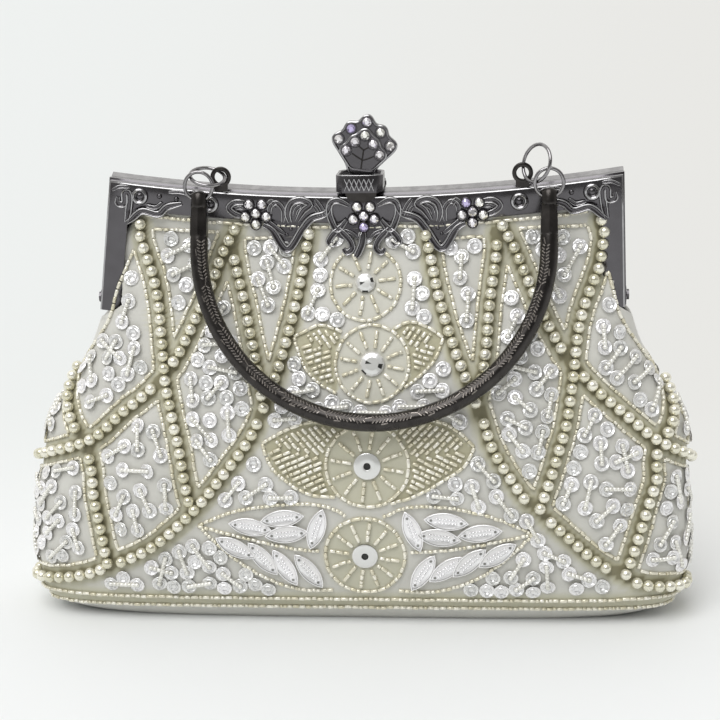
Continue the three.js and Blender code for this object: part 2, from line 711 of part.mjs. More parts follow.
addPiece('bag_body', bagBody(), satin);
addPiece('front_frame', frontFrame(), gunmetal);
addPiece('back_frame', backFrame(), gunmetal);
addPiece('handle', handle(), gunmetal);
addPiece('clasp_knob', claspKnob(), gunmetal);
addPiece('clasp_pin', barAlongX(claspPinRadius, claspPinLength, 10, 0, claspHinge.y, claspHinge.z), gunmetal);
for (const { name, side, upper, upperRadius, normal } of ringSets) {
  addPiece(`hinge_rivet_${name}`, rivet(side), gunmetal);
  const eye = handlePoint(side * handleHalfSpan, 0);
  const lower = eye.clone().add(new THREE.Vector3(0, 0, lowerRingRadius - ringDrop));
  addPiece(`lower_ring_${name}`, ring(lowerRingRadius, lower, new THREE.Vector3(0, 1, 0)), wire);
  const turn = new THREE.Vector3(...normal);
  addPiece(`upper_ring_${name}`, ring(upperRadius, new THREE.Vector3(...upper), turn), wire);
}
fanStones.forEach(({ x, z, row }, i) => {
  const place = fanPlace(x, z);
  const face = row === 'outer' ? -fanThickness / 2 : -fanThickness / 2 - fanLayer;
  addPiece(`fan_stone_${i + 1}`, stone(place.x, face, place.z), crystal);
});
for (const flower of flowers) {
  petalPlaces(flower).forEach(({ x, drop }, i) => {
    const z = archHeight(flower.x) - drop;
    addPiece(`flower_${flower.name}_stone_${i + 1}`, stone(x, frontFace - seatHeight, z), crystal);
  });
}
wheelDiscs.forEach((disc, i) => {
  addPiece(`wheel_disc_${i + 1}`, wheelDisc(disc), discFilm);
});
for (const [name, side] of [['left', -1], ['right', 1]]) {
  const strings = pearlRoutes[name].map((route) => pearlString(route, side));
  addPiece(`pearl_strands_${name}`, join(strings), pearl);
}

export default purse;
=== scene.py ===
# Beaded evening bag on a hinged gunmetal frame: cloth, beadwork, metal, light and camera.
import math
import random

import bmesh
import bpy
import numpy as np
from mathutils import Matrix, Vector
from mathutils.kdtree import KDTree


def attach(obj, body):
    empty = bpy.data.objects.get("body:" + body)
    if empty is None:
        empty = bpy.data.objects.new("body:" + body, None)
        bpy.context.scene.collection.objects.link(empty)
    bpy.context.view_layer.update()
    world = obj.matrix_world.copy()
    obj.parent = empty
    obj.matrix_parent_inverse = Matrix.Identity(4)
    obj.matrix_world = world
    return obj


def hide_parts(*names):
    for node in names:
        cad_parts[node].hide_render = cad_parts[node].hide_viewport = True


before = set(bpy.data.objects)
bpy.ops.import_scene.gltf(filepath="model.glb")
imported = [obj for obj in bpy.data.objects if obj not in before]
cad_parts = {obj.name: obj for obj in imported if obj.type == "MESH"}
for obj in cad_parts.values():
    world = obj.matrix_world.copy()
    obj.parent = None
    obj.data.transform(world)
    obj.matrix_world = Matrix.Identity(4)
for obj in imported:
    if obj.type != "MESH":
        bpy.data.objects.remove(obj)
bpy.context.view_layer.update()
scene = bpy.context.scene
mm = 0.001
chance = random.Random(11)


def hexColour(code):
    channels = [int(code[i:i + 2], 16) / 255 for i in (1, 3, 5)]
    return [c / 12.92 if c <= 0.04045 else ((c + 0.055) / 1.055) ** 2.4 for c in channels] + [1]


def addNode(tree, kind, settings, inputs):
    node = tree.nodes.new(kind)
    for name, value in settings.items():
        setattr(node, name, value)
    for name, value in inputs.items():
        if isinstance(value, bpy.types.NodeSocket):
            tree.links.new(value, node.inputs[name])
        else:
            node.inputs[name].default_value = value
    return node


def newMaterial(name, surface):
    material = bpy.data.materials.new(name)
    material.use_nodes = True
    shader = material.node_tree.nodes["Principled BSDF"]
    for socket, value in surface.items():
        shader.inputs[socket].default_value = value
    return material, material.node_tree, shader


def tonedMaterial(name, surface, low, high):
    material, tree, shader = newMaterial(name, surface)
    tone = addNode(tree, "ShaderNodeAttribute", {"attribute_name": "tone"}, {})
    ramp = addNode(tree, "ShaderNodeValToRGB", {}, {"Fac": tone.outputs["Fac"]})
    for stop, code in zip(ramp.color_ramp.elements, (low, high)):
        stop.color = hexColour(code)
    tree.links.new(ramp.outputs["Color"], shader.inputs["Base Color"])
    return material


# Clouds of a patch size in millimetres, because plating is never quite even.
def platedMaterial(name, patch, detail, dark, light, smooth, rough=None):
    material, tree, shader = newMaterial(name, {"Metallic": 1.0, "Roughness": smooth})
    spot = addNode(tree, "ShaderNodeTexCoord", {}, {}).outputs["Object"]
    cloud = addNode(tree, "ShaderNodeTexNoise", {}, {"Vector": spot, "Scale": 1 / (patch * mm), "Detail": detail})
    tint = addNode(tree, "ShaderNodeMix", {"data_type": "RGBA"}, {
        "Factor": cloud.outputs["Fac"], 6: hexColour(dark), 7: hexColour(light)})
    tree.links.new(tint.outputs[2], shader.inputs["Base Color"])
    if rough:
        worn = addNode(tree, "ShaderNodeMapRange", {}, {
            "Value": cloud.outputs["Fac"], "To Min": smooth, "To Max": rough})
        tree.links.new(worn.outputs["Result"], shader.inputs["Roughness"])
    return material, tree, shader, spot


def addPiece(name, mesh, materials, body, slotName, *nodes):
    piece = bpy.data.objects.new(name, mesh)
    for material in materials:
        mesh.materials.append(material)
    scene.collection.objects.link(piece)
    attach(piece, body)
    if nodes:
        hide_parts(*nodes)
    return piece


# Shape of the cloth, the same rows as the part's source: level above the hem, left, right, depth, squareness.
bagShape = {
    "rows": [(-5, 121, 110, 23, 4), (-2.8, 126.5, 115.5, 25.4, 5), (0, 130, 119, 26.5, 6),
             (4, 135.2, 124, 29.8, 6), (14, 136.2, 126, 31.8, 5),
             (30, 136, 126.3, 33, 3.9), (46, 135.4, 125.8, 33, 3.2), (60, 133.8, 126.8, 32, 2.9),
             (74, 129.2, 124.8, 29.8, 2.7), (88, 119.6, 115.8, 26.8, 2.7), (102, 111, 107, 22.5, 2.8),
             (118, 104, 101.5, 16.5, 3.2), (126, 101.5, 99.5, 13, 3.6), (134, 99.5, 97.5, 9.6, 4.2),
             (142, 96, 95, 7.2, 5), (148, 89.5, 89.5, 6.2, 7), (160, 88.4, 88.4, 5.9, 8)],
    "band": 5, "top": 160, "step": 0.5, "blur": 3.0, "blurRows": 24, "fine": 800, "half": 240,
    "archStart": 105, "archEnd": 150, "archRise": 7.3, "archHalf": 99.3, "seam": math.radians(88.4),
}
rows = np.array(bagShape["rows"], float)
step, blurRows, fine = bagShape["step"], bagShape["blurRows"], bagShape["fine"]
levels = np.arange(-bagShape["band"], bagShape["top"] + step / 2, step)
spread = np.exp(-0.5 * (np.arange(-blurRows, blurRows + 1) * step / bagShape["blur"]) ** 2)
spread /= spread.sum()


def archRise(x):
    return bagShape["archRise"] * (x / bagShape["archHalf"]) ** 2


def archBlend(level):
    s = np.clip((level - bagShape["archStart"]) / (bagShape["archEnd"] - bagShape["archStart"]), 0, 1)
    return s * s * (3 - 2 * s)


def smoothColumn(values):
    dense = np.interp(levels, rows[:, 0], values)
    return np.convolve(np.pad(dense, blurRows, mode="reflect", reflect_type="odd"), spread, mode="valid")


left, right, depth, square = [smoothColumn(rows[:, k]) for k in range(1, 5)]
turns = np.sin(np.linspace(-1, 1, 2 * fine + 1) * math.pi / 2) * math.pi / 2
across = np.sin(turns)[None]
span = across * np.where(across < 0, left[:, None], right[:, None])
fullness = np.clip(1 - np.abs(across) ** square[:, None], 0, 1) ** (1 / square[:, None])
height = bagShape["band"] + levels[:, None] + archRise(span) * archBlend(levels)[:, None]
plain = np.stack([span, -depth[:, None] * fullness, height], axis=-1)
run = np.cumsum(np.linalg.norm(np.diff(plain, axis=1, prepend=plain[:, :1]), axis=-1), axis=1)
run -= run[:, fine:fine + 1]
halfLeft, halfRight = -run[:, 0], run[:, -1]
share = np.linspace(-1, 1, 2 * bagShape["half"] + 1)
surface = np.empty((len(levels), len(share), 3))
for i in range(len(levels)):
    wanted = np.where(share < 0, share * halfLeft[i], share * halfRight[i])
    surface[i] = np.stack([np.interp(wanted, run[i], plain[i, :, k]) for k in range(3)], axis=-1)


def gridNormals(grid):
    mirrored = grid * [1, -1, 1]
    wide = np.concatenate([mirrored[:, 1:2], grid, mirrored[:, -2:-1]], axis=1)
    normal = np.cross(wide[:, 2:] - wide[:, :-2], np.gradient(grid, axis=0))
    return normal / np.linalg.norm(normal, axis=-1, keepdims=True)


def halfAt(along, level):
    return np.where(along < 0, np.interp(level, levels, halfLeft), np.interp(level, levels, halfRight))


def lookUp(grid, route):
    along, level = np.asarray(route, float).T
    row = np.clip((level - levels[0]) / step, 0, len(levels) - 1.001)
    column = np.clip((along / halfAt(along, level) + 1) * bagShape["half"], 0, len(share) - 1.001)
    i, j = row.astype(int), column.astype(int)
    f, g = (row - i)[:, None], (column - j)[:, None]
    low = grid[i, j] * (1 - g) + grid[i, j + 1] * g
    return low * (1 - f) + (grid[i + 1, j] * (1 - g) + grid[i + 1, j + 1] * g) * f


def turnAt(x, level):
    reach = np.interp(level, levels, left if x < 0 else right)
    limit = math.sin(bagShape["seam"])
    return math.asin(max(-limit, min(limit, x / reach)))


def arcAt(turn, level):
    return float(np.interp(turn, turns, run[int(round((min(level, bagShape["top"]) - levels[0]) / step))]))


def onCloth(points):
    placed = []
    for x, z in points:
        level = z - float(archRise(x) * archBlend(z))
        placed.append((arcAt(turnAt(x, level), level), level))
    return np.array(placed)


def spline(points, steps=20):
    points = np.array(points, float)
    padded = np.vstack([points[:1], points, points[-1:]])
    s = np.linspace(0, 1, steps, endpoint=False)[:, None]
    parts = []
    for a, b, c, d in zip(padded, padded[1:], padded[2:], padded[3:]):
        parts.append(0.5 * (2 * b + (c - a) * s + (2 * a - 5 * b + 4 * c - d) * s ** 2
                            + (3 * b - a - 3 * c + d) * s ** 3))
    return np.vstack(parts + [points[-1:]])


def evenly(path, pitch):
    gaps = np.linalg.norm(np.diff(path, axis=0), axis=1)
    reach = np.concatenate([[0], np.cumsum(gaps)])
    count = max(1, round(reach[-1] / pitch))
    marks = np.linspace(0, reach[-1], count + 1)
    return np.stack([np.interp(marks, reach, path[:, k]) for k in range(path.shape[1])], axis=-1)


def inside(points, outline):
    x, y = points[:, :1], points[:, 1:2]
    ax, ay = outline[:, 0][None], outline[:, 1][None]
    bx, by = np.roll(ax, -1), np.roll(ay, -1)
    rise = np.where(by == ay, 1e-9, by - ay)
    crossed = ((ay > y) != (by > y)) & (x < (bx - ax) * (y - ay) / rise + ax)
    return crossed.sum(axis=1) % 2 == 1


def nearest(points, others):
    best = np.full(len(points), 1e9)
    for start in range(0, len(others), 200):
        gap = points[:, None] - others[None, start:start + 200]
        best = np.minimum(best, np.sqrt((gap ** 2).sum(axis=-1)).min(axis=1))
    return best


# Pearl strings of the lattice, as x and level down the front; a wrap runs on to the side seam.
pearlRoutes = {
    "left": {
        "edge": {"line": [(-87.2, 146.5), (-82.8, 130), (-77.9, 95.3), (-73.1, 71.6), (-68.9, 47.1)]},
        "diagonal": {"line": [(-50.4, 148), (-58.2, 131), (-64.7, 117.6), (-77.9, 95.3), (-93.7, 81.4),
                              (-111.6, 67.5)], "wrapLast": 57},
        "corner": {"line": [(-111.6, 67.5), (-107.1, 44.3), (-103, 20.5)], "wrapFirst": 93},
        "inner": {"line": [(-51, 146), (-47.3, 124.4), (-42.5, 104.1), (-38.6, 83.7)]},
        "sweep": {"line": [(-21.4, 147.5), (-24.4, 132), (-33.2, 97.9), (-38.6, 83.7), (-45.1, 70.7),
                           (-57.2, 55), (-68.9, 41.6), (-84.3, 28.1), (-101.7, 19.5), (-118.8, 13.6)],
                  "wrapLast": 10},
    },
    "right": {
        "edge": {"line": [(90, 146), (84.4, 120), (80.2, 98.2), (79, 88.4), (75.2, 69.9), (67.3, 45)]},
        "diagonal": {"line": [(53.2, 148.5), (59.4, 136), (69.6, 114.8), (80.2, 98.2), (94.3, 83.9),
                              (112.6, 68.1)], "wrapLast": 57},
        "corner": {"line": [(113.2, 66.6), (111.5, 52.6), (105.9, 34.7), (100.5, 17.6)], "wrapFirst": 88},
        "inner": {"line": [(50.8, 146), (48.7, 125), (46.4, 102.4), (42.8, 85.6)]},
        "sweep": {"line": [(23.8, 146.5), (26.3, 134.7), (29, 123), (39.2, 94.8), (43.4, 84.8), (49.4, 67.8),
                           (60.1, 50.7), (67.3, 43.4), (89, 23.3), (105.2, 13.6), (117.3, 10.9)],
                  "wrapLast": 9},
    },
}


def strandRoute(strand, side):
    turned = [(turnAt(x, level), level) for x, level in strand["line"]]
    if "wrapFirst" in strand:
        turned.insert(0, (side * bagShape["seam"], strand["wrapFirst"]))
    if "wrapLast" in strand:
        turned.append((side * bagShape["seam"], strand["wrapLast"]))
    return np.array([(arcAt(turn, level), level) for turn, level in spline(turned)])


strands = {}
for sideName, side in (("left", -1), ("right", 1)):
    for name, strand in pearlRoutes[sideName].items():
        strands[sideName, name] = strandRoute(strand, side)
print("strands", len(strands))


# Motifs down the middle: beaded wheels with leaves, in x and z seen from the front.
wheels = [
    {"centre": (0.5, 129.3), "radius": 13.6, "hub": 4.0, "spokes": 10, "shadeAndTint": 0.14},
    {"centre": (3.3, 100.0), "radius": 14.2, "hub": 4.85, "spokes": 12, "shadeAndTint": 0.2},
    {"centre": (1.2, 61.8), "radius": 16.0, "hub": 5.2, "spokes": 12, "shadeAndTint": 0.5},
    {"centre": (-0.3, 25.5), "radius": 15.6, "hub": 5.0, "spokes": 12, "shadeAndTint": 0.45},
]
leaves = [
    {"wheel": 1, "tip": (-27, 110), "over": [(-20.3, 113), (-15.6, 114.4), (-8.4, 111.5)],
     "under": [(-24.1, 101.5), (-19.4, 94.5), (-10, 89)]},
    {"wheel": 1, "tip": (30.5, 109.4), "over": [(25, 113), (17.8, 115.2), (10.5, 112)],
     "under": [(26.5, 100.5), (17.8, 92.7), (12, 89)]},
    {"wheel": 2, "tip": (-39.4, 70.2), "over": [(-28.8, 75.9), (-18, 78.8), (-7, 76.5)],
     "under": [(-36.7, 62.5), (-31.1, 56.4), (-21.9, 50.9), (-11, 49.5)]},
    {"wheel": 2, "tip": (42.2, 68.9), "over": [(36, 75), (28.5, 78.8), (18, 80), (8, 77)],
     "under": [(38.5, 62), (31.1, 56.6), (19.1, 49.9), (9, 47)]},
]
fronds = [
    [(-65.7, 37.1), (-49.9, 43.6), (-31.4, 46.4), (-16.5, 46.1), (-7.3, 42)],
    [(-65.7, 37.1), (-41, 31), (-27.3, 28.2), (-17.9, 27.4)],
    [(-65.7, 37.1), (-50.8, 23.2), (-38.2, 14.9), (-25.3, 10.6), (-13, 10.8)],
    [(64.7, 34.5), (51, 41), (33, 45.2), (17, 45.6), (7, 41.6)],
    [(64.7, 34.5), (41, 29.6), (27.3, 27.6), (17.3, 27.2)],
    [(64.7, 34.5), (51, 21.4), (38.2, 13.6), (25.3, 10.2), (12.4, 10.6)],
]
# Each paillette: x, z and the turn of its length.
paillettes = [
    (-44.8, 37.4, -10), (-32.2, 41, 8), (-30.6, 34.6, 6), (-18.9, 36.8, 72),
    (-51, 28.7, -28), (-40.4, 24.3, -50), (-31.8, 20.6, -58), (-22.5, 19.2, -52),
    (44.4, 35.4, 8), (31.4, 40.2, -6), (28.6, 33.6, -8), (18.4, 36, -70),
    (51, 26.4, 34), (40.2, 23.2, 42), (31.6, 20.4, 36), (22.2, 18.8, 58),
]


def ringRoute(wheel, radius, count=72):
    angles = np.linspace(0, 2 * math.pi, count + 1)
    centre = onCloth([wheel["centre"]])[0]
    return centre + radius * np.stack([np.sin(angles), np.cos(angles)], axis=-1)


leafOutlines = []
for leaf in leaves:
    over = spline(onCloth([leaf["tip"]] + leaf["over"]))
    under = spline(onCloth([leaf["tip"]] + leaf["under"]))
    leafOutlines.append({"over": over, "under": under, "whole": np.vstack([over[::-1], under])})
wheelCentres = [onCloth([wheel["centre"]])[0] for wheel in wheels]
frondRoutes = [spline(onCloth(frond)) for frond in fronds]


# Cells of the lattice: each is bounded by strings, the frame's edge or the seam, and gets an inset line of bugles.
cellInset = {"strand": 4.7, "rim": 1.2, "seam": 4.0}
besideLeg = {"levels": (112, 126), "gap": 9}


def stretch(route, start, end):
    a = int(np.argmin(((route - start) ** 2).sum(axis=1)))
    b = int(np.argmin(((route - end) ** 2).sum(axis=1)))
    return route[a:b + 1] if a <= b else route[b:a + 1][::-1]


def sideCells(sideName, side):
    route = {name: strands[sideName, name] for name in pearlRoutes[sideName]}
    half = halfLeft if side < 0 else halfRight

    def seam(fromLevel, toLevel):
        marks = np.linspace(fromLevel, toLevel, 40)
        return np.stack([side * np.interp(marks, levels, half), marks], axis=-1)

    def meet(first, second):
        gap = ((route[first][:, None] - route[second][None]) ** 2).sum(axis=-1)
        i, j = np.unravel_index(np.argmin(gap), gap.shape)
        return (route[first][i] + route[second][j]) / 2

    crossing, shoulder = meet("edge", "diagonal"), meet("diagonal", "corner")
    edgeFoot, cornerFoot, innerFoot = meet("edge", "sweep"), meet("corner", "sweep"), meet("inner", "sweep")
    edgeTop, diagonalTop = route["edge"][0], route["diagonal"][0]
    innerTop, sweepTop = route["inner"][0], route["sweep"][0]
    leg = [(side * (np.interp(level, levels, half) - besideLeg["gap"]), level) for level in besideLeg["levels"]]
    cornerTop, diagonalEnd, sweepEnd = route["corner"][0], route["diagonal"][-1], route["sweep"][-1]

    def along(name, start, end):
        return "strand", stretch(route[name], start, end)

    bounds = [
        [along("edge", edgeTop, crossing), along("diagonal", crossing, shoulder),
         along("corner", shoulder, cornerTop), ("rim", spline([cornerTop, *leg, edgeTop]))],
        [along("edge", edgeTop, crossing), along("diagonal", crossing, diagonalTop),
         ("rim", spline([diagonalTop, edgeTop]))],
        [along("diagonal", diagonalTop, crossing), along("edge", crossing, edgeFoot),
         along("sweep", edgeFoot, innerFoot), along("inner", innerFoot, innerTop),
         ("rim", spline([innerTop, diagonalTop]))],
        [along("inner", innerTop, innerFoot), along("sweep", innerFoot, sweepTop),
         ("rim", spline([sweepTop, innerTop]))],
        [along("diagonal", crossing, shoulder), along("corner", shoulder, cornerFoot),
         along("sweep", cornerFoot, edgeFoot), along("edge", edgeFoot, crossing)],
        [along("diagonal", shoulder, diagonalEnd), ("seam", seam(diagonalEnd[1], sweepEnd[1])),
         along("sweep", sweepEnd, cornerFoot), along("corner", cornerFoot, shoulder)],
        [along("corner", shoulder, cornerTop), ("seam", seam(cornerTop[1], diagonalEnd[1])),
         along("diagonal", diagonalEnd, shoulder)],
    ]
    made = []
    for bound in bounds:
        parts = [(cellInset[kind], evenly(points, 1.0)) for kind, points in bound]
        made.append({"outline": np.vstack([points for _, points in parts]),
                     "inset": np.concatenate([np.full(len(points), inset) for inset, points in parts])})
    return made


def insetLines(cell):
    outline, inset = cell["outline"], cell["inset"]
    heading = np.roll(outline, -1, axis=0) - np.roll(outline, 1, axis=0)
    heading /= np.maximum(np.linalg.norm(heading, axis=1, keepdims=True), 1e-9)
    spin = np.sum(outline[:, 0] * np.roll(outline[:, 1], -1) - outline[:, 1] * np.roll(outline[:, 0], -1))
    inward = np.stack([-heading[:, 1], heading[:, 0]], axis=-1) * (1 if spin > 0 else -1)
    moved = outline + inward * inset[:, None]
    gap = np.sqrt(((moved[:, None] - outline[None]) ** 2).sum(axis=-1))
    kept = (gap >= inset[None] * 0.97).all(axis=1) & inside(moved, outline)
    lines, current = [], []
    for point, keep in zip(moved, kept):
        far = current and np.linalg.norm(point - current[-1]) > 5
        if current and (far or not keep):
            lines.append(np.array(current))
            current = []
        if keep:
            current.append(point)
    if current:
        lines.append(np.array(current))
    if len(lines) > 1 and kept[0] and kept[-1]:
        lines[0] = np.vstack([lines.pop(), lines[0]])
    return [line for line in lines if len(line) > 3]


cells = sideCells("left", -1) + sideCells("right", 1)
cellLines = [insetLines(cell) for cell in cells]
print("cells", len(cells), "lines", sum(len(lines) for lines in cellLines))


# Puffs and puckers of the cloth: it is drawn in along the strings and lines and swells between them.
strandPoints = np.vstack([evenly(route, 1.5) for route in strands.values()])
linePoints = np.vstack([evenly(line, 2) for lines in cellLines for line in lines])
tableRoute = np.stack(np.broadcast_arrays(
    np.where(share[None] < 0, share[None] * halfLeft[:, None], share[None] * halfRight[:, None]),
    levels[:, None]), axis=-1)
puff = {"strand": 1.2, "line": 0.5, "reach": 7.0, "lineReach": 2.2, "sunk": 0.6, "coarse": 4,
        "hem": (2, 8), "top": (146, 12)}
# Above the hinges the cloth goes in between the legs of the frame.
tuckIn = {"beyond": (87.5, 3), "above": (126, 8), "front": -5.4}
# Painted shade on the ground: darker under and beside the strings; darker beige in the wheels and leaves and along the
# hem.
shadeAndTintReach = {"strings": [(5.4, 1.4, 0.5), (3.2, 0.8, 1.0)], "wheel": (1.5, 2), "leaf": 0.75, "leafGap": 0.5,
       "hem": (11, 4), "hemFoot": (0.5, 1.5), "hemShadeAndTint": 0.6}


def risen(values, start, over):
    return np.clip((values - start) / over, 0, 1)


def fallen(values, end, over):
    return np.clip((end - values) / over, 0, 1)


def fieldOf(points):
    by = puff["coarse"]
    coarse = tableRoute[::by, ::by]
    found = nearest(coarse.reshape(-1, 2), points).reshape(coarse.shape[:2])
    rowsFine = np.stack([np.interp(levels, levels[::by], found[:, k]) for k in range(found.shape[1])], axis=1)
    return np.stack([np.interp(share, share[::by], row) for row in rowsFine])


strandField, lineField = fieldOf(strandPoints), fieldOf(linePoints)
swell = puff["strand"] * (1 - np.exp(-(strandField / puff["reach"]) ** 2)) - puff["strand"] * puff["sunk"]
swell -= puff["line"] * np.exp(-(lineField / puff["lineReach"]) ** 2)
swell *= risen(levels[:, None], *puff["hem"]) * fallen(levels[:, None], *puff["top"])
cloth = surface + gridNormals(surface) * swell[..., None]
tuck = risen(np.abs(cloth[..., 0]), *tuckIn["beyond"]) * risen(levels[:, None], *tuckIn["above"])
cloth[..., 1] += (np.maximum(cloth[..., 1], tuckIn["front"]) - cloth[..., 1]) * tuck
clothNormals = gridNormals(cloth)
print("cloth table", cloth.shape)


# Painted shade beside and under the strings, and darker beige in the wheels, leaves and hem, from 0 to 1 at each point.
def shadeAndTintAt(route):
    near = nearest(route, strandPoints)
    onFront = np.zeros(len(route))
    for end, over, strength in shadeAndTintReach["strings"]:
        onFront = np.maximum(onFront, fallen(near, end, over) * strength)
    beside = np.full(len(route), 99.0)
    for wheel, centre in zip(wheels, wheelCentres):
        gap = np.linalg.norm(route - centre, axis=1) - wheel["radius"]
        beside = np.minimum(beside, gap)
        onFront = np.maximum(onFront, fallen(gap, *shadeAndTintReach["wheel"]) * wheel["shadeAndTint"])
    for leaf in leafOutlines:
        dyed = inside(route, leaf["whole"]) & (beside > shadeAndTintReach["leafGap"])
        onFront = np.maximum(onFront, np.where(dyed, shadeAndTintReach["leaf"], 0))
    hem = fallen(route[:, 1], *shadeAndTintReach["hem"]) * risen(route[:, 1], *shadeAndTintReach["hemFoot"])
    return np.maximum(onFront, hem * shadeAndTintReach["hemShadeAndTint"])


# The satin bag: two panels joined at the side seams below the hinges, with a flat base and an open mouth.
satinBag = {"columns": 168, "rows": 98, "top": 159.5, "openFrom": 112.0, "openTo": 119.0, "wall": 1.5,
            "mouthHalf": 96, "pinchFrom": 49, "pinch": 2.4, "backShadeAndTint": 0.4, "cloud": 16.667, "thread": 0.4488}


def panelLimit(level, side):
    row = cloth[int(round((level - levels[0]) / step))]
    aside, deep = np.abs(row[:, 0]), np.abs(row[:, 1])
    kept = (aside < satinBag["mouthHalf"]) & ~((aside > satinBag["pinchFrom"]) & (deep < satinBag["pinch"]))
    reach = np.abs(share[kept & (share * side >= 0)]).max()
    return 1 + (reach - 1) * risen(level, satinBag["openFrom"], satinBag["openTo"] - satinBag["openFrom"])


bm = bmesh.new()
shadeAndTint = bm.verts.layers.float.new("shadeAndTint")
shares = np.linspace(-1, 1, satinBag["columns"] + 1)
panelRoute = []
for level in np.linspace(levels[0], satinBag["top"], satinBag["rows"] + 1):
    reach = np.where(shares < 0, panelLimit(level, -1), panelLimit(level, 1))
    panelRoute.append(np.stack([shares * reach * halfAt(shares, level), np.full(len(shares), level)], axis=-1))
panelRoute = np.vstack(panelRoute)
panelPoints, panelShadeAndTint = lookUp(cloth, panelRoute), shadeAndTintAt(panelRoute)
# Each vertex keeps its painted shade and tint; the back panel keeps less of it.
for panel in (1, -1):
    grid = bmesh.ops.create_grid(bm, x_segments=satinBag["columns"], y_segments=satinBag["rows"], size=1)
    for vert, (x, y, z), tint in zip(grid["verts"], panelPoints, panelShadeAndTint):
        vert.co = Vector((x, panel * y, z)) * mm
        vert[shadeAndTint] = tint if panel > 0 else min(tint, satinBag["backShadeAndTint"])
for face in bm.faces:
    face.smooth = True
bmesh.ops.remove_doubles(bm, verts=bm.verts, dist=0.00002)
baseEdges = [edge for edge in bm.edges if edge.is_boundary and all(v.co.z < 0.0002 for v in edge.verts)]
bmesh.ops.edgenet_fill(bm, edges=baseEdges)
bmesh.ops.recalc_face_normals(bm, faces=bm.faces)
clothMesh = bpy.data.meshes.new("satin_bag")
bm.to_mesh(clothMesh)
bm.free()

# Woven satin: a soft sheen with fine threads, greyer in the open cloth, with painted shade along the strings and darker
# beige in the wheels, leaves and hem.
# Real threads are finer. They are drawn 0.45 mm apart, so that they show, and a wave repeats every pi / 10.
satin, tree, shader = newMaterial("woven satin, painted shade", {
    "Roughness": 0.5, "Sheen Weight": 0.25, "Sheen Roughness": 0.4, "Specular IOR Level": 0.4})
spot = addNode(tree, "ShaderNodeTexCoord", {}, {}).outputs["Object"]
shadeAndTintNode = addNode(tree, "ShaderNodeAttribute", {"attribute_name": "shadeAndTint"}, {})
cloud = addNode(tree, "ShaderNodeTexNoise", {}, {
    "Vector": spot, "Scale": 1 / (satinBag["cloud"] * mm), "Detail": 3})
shade = addNode(tree, "ShaderNodeMix", {"data_type": "RGBA"}, {
    "Factor": cloud.outputs["Fac"], 6: hexColour("#e2e2de"), 7: hexColour("#f2f2ef")})
# Painted shade: towards the top of the ramp the cloth turns dark olive, where the strings' shade and the darker beige
# are painted.
ramp = addNode(tree, "ShaderNodeValToRGB", {}, {"Fac": shadeAndTintNode.outputs["Fac"]})
ramp.color_ramp.elements[0].color = hexColour("#d8d7d2")
ramp.color_ramp.elements[1].color = hexColour("#8d886e")
for place, shadeAt in ((0.45, "#cfcdbb"), (0.75, "#bcb89f")):
    ramp.color_ramp.elements.new(place).color = hexColour(shadeAt)
mixed = addNode(tree, "ShaderNodeMix", {"data_type": "RGBA", "blend_type": "MULTIPLY"}, {
    "Factor": 0.6, 6: ramp.outputs["Color"], 7: shade.outputs[2]})
tree.links.new(mixed.outputs[2], shader.inputs["Base Color"])
weave = addNode(tree, "ShaderNodeTexWave", {"bands_direction": "Z"}, {
    "Vector": spot, "Scale": math.pi / 10 / (satinBag["thread"] * mm), "Distortion": 2, "Detail": 1})
bump = addNode(tree, "ShaderNodeBump", {}, {
    "Strength": 0.12, "Distance": 0.0002, "Height": weave.outputs["Fac"]})
tree.links.new(bump.outputs["Normal"], shader.inputs["Normal"])

satinPiece = addPiece("satin_bag", clothMesh, [satin], "bag", "satin", "bag_body")
solid = satinPiece.modifiers.new("wall", "SOLIDIFY")
solid.thickness = satinBag["wall"] * mm
solid.offset = -1
print("satin bag", len(clothMesh.polygons))


# Small repeated things: one shape, many places, one joined mesh.
def shapeOf(bm):
    bm.verts.index_update()
    points = np.array([v.co[:] for v in bm.verts])
    faces = [[v.index for v in face.verts] for face in bm.faces]
    flags = [face.smooth for face in bm.faces]
    slots = [face.material_index for face in bm.faces]
    bm.free()
    return {"points": points, "faces": faces, "smooth": flags, "slots": slots}


def scatter(name, shape, places, axes, tones=None):
    count, size = len(places), len(shape["points"])
    points = np.einsum("kij,nj->kni", axes, shape["points"]) + places[:, None]
    corners = np.concatenate([np.array(face) for face in shape["faces"]])
    totals = np.array([len(face) for face in shape["faces"]])
    starts = np.concatenate([[0], np.cumsum(totals)[:-1]])
    mesh = bpy.data.meshes.new(name)
    mesh.vertices.add(count * size)
    mesh.vertices.foreach_set("co", (points * mm).ravel())
    mesh.loops.add(count * len(corners))
    mesh.loops.foreach_set("vertex_index", (corners[None] + np.arange(count)[:, None] * size).ravel())
    mesh.polygons.add(count * len(totals))
    mesh.polygons.foreach_set("loop_start", (starts[None] + np.arange(count)[:, None] * len(corners)).ravel())
    mesh.polygons.foreach_set("use_smooth", np.tile(shape["smooth"], count))
    mesh.polygons.foreach_set("material_index", np.tile(shape["slots"], count))
    if tones is not None:
        layer = mesh.attributes.new("tone", "FLOAT", "POINT")
        layer.data.foreach_set("value", np.repeat(np.array(tones, float), size))
    mesh.update(calc_edges=True)
    mesh.validate()
    return mesh


def axesOf(alongs, ups, scales):
    x = alongs / np.maximum(np.linalg.norm(alongs, axis=1, keepdims=True), 1e-9)
    y = np.cross(ups, x)
    y /= np.maximum(np.linalg.norm(y, axis=1, keepdims=True), 1e-9)
    z = np.cross(x, y)
    scales = np.broadcast_to(np.asarray(scales, float), (len(x), 3))
    return np.stack([x * scales[:, :1], y * scales[:, 1:2], z * scales[:, 2:]], axis=-1)


def pathOn(route, offset, panel):
    flip = np.array([1, panel, 1])
    normal = lookUp(clothNormals, route)
    return (lookUp(cloth, route) + normal * offset) * flip, normal * flip


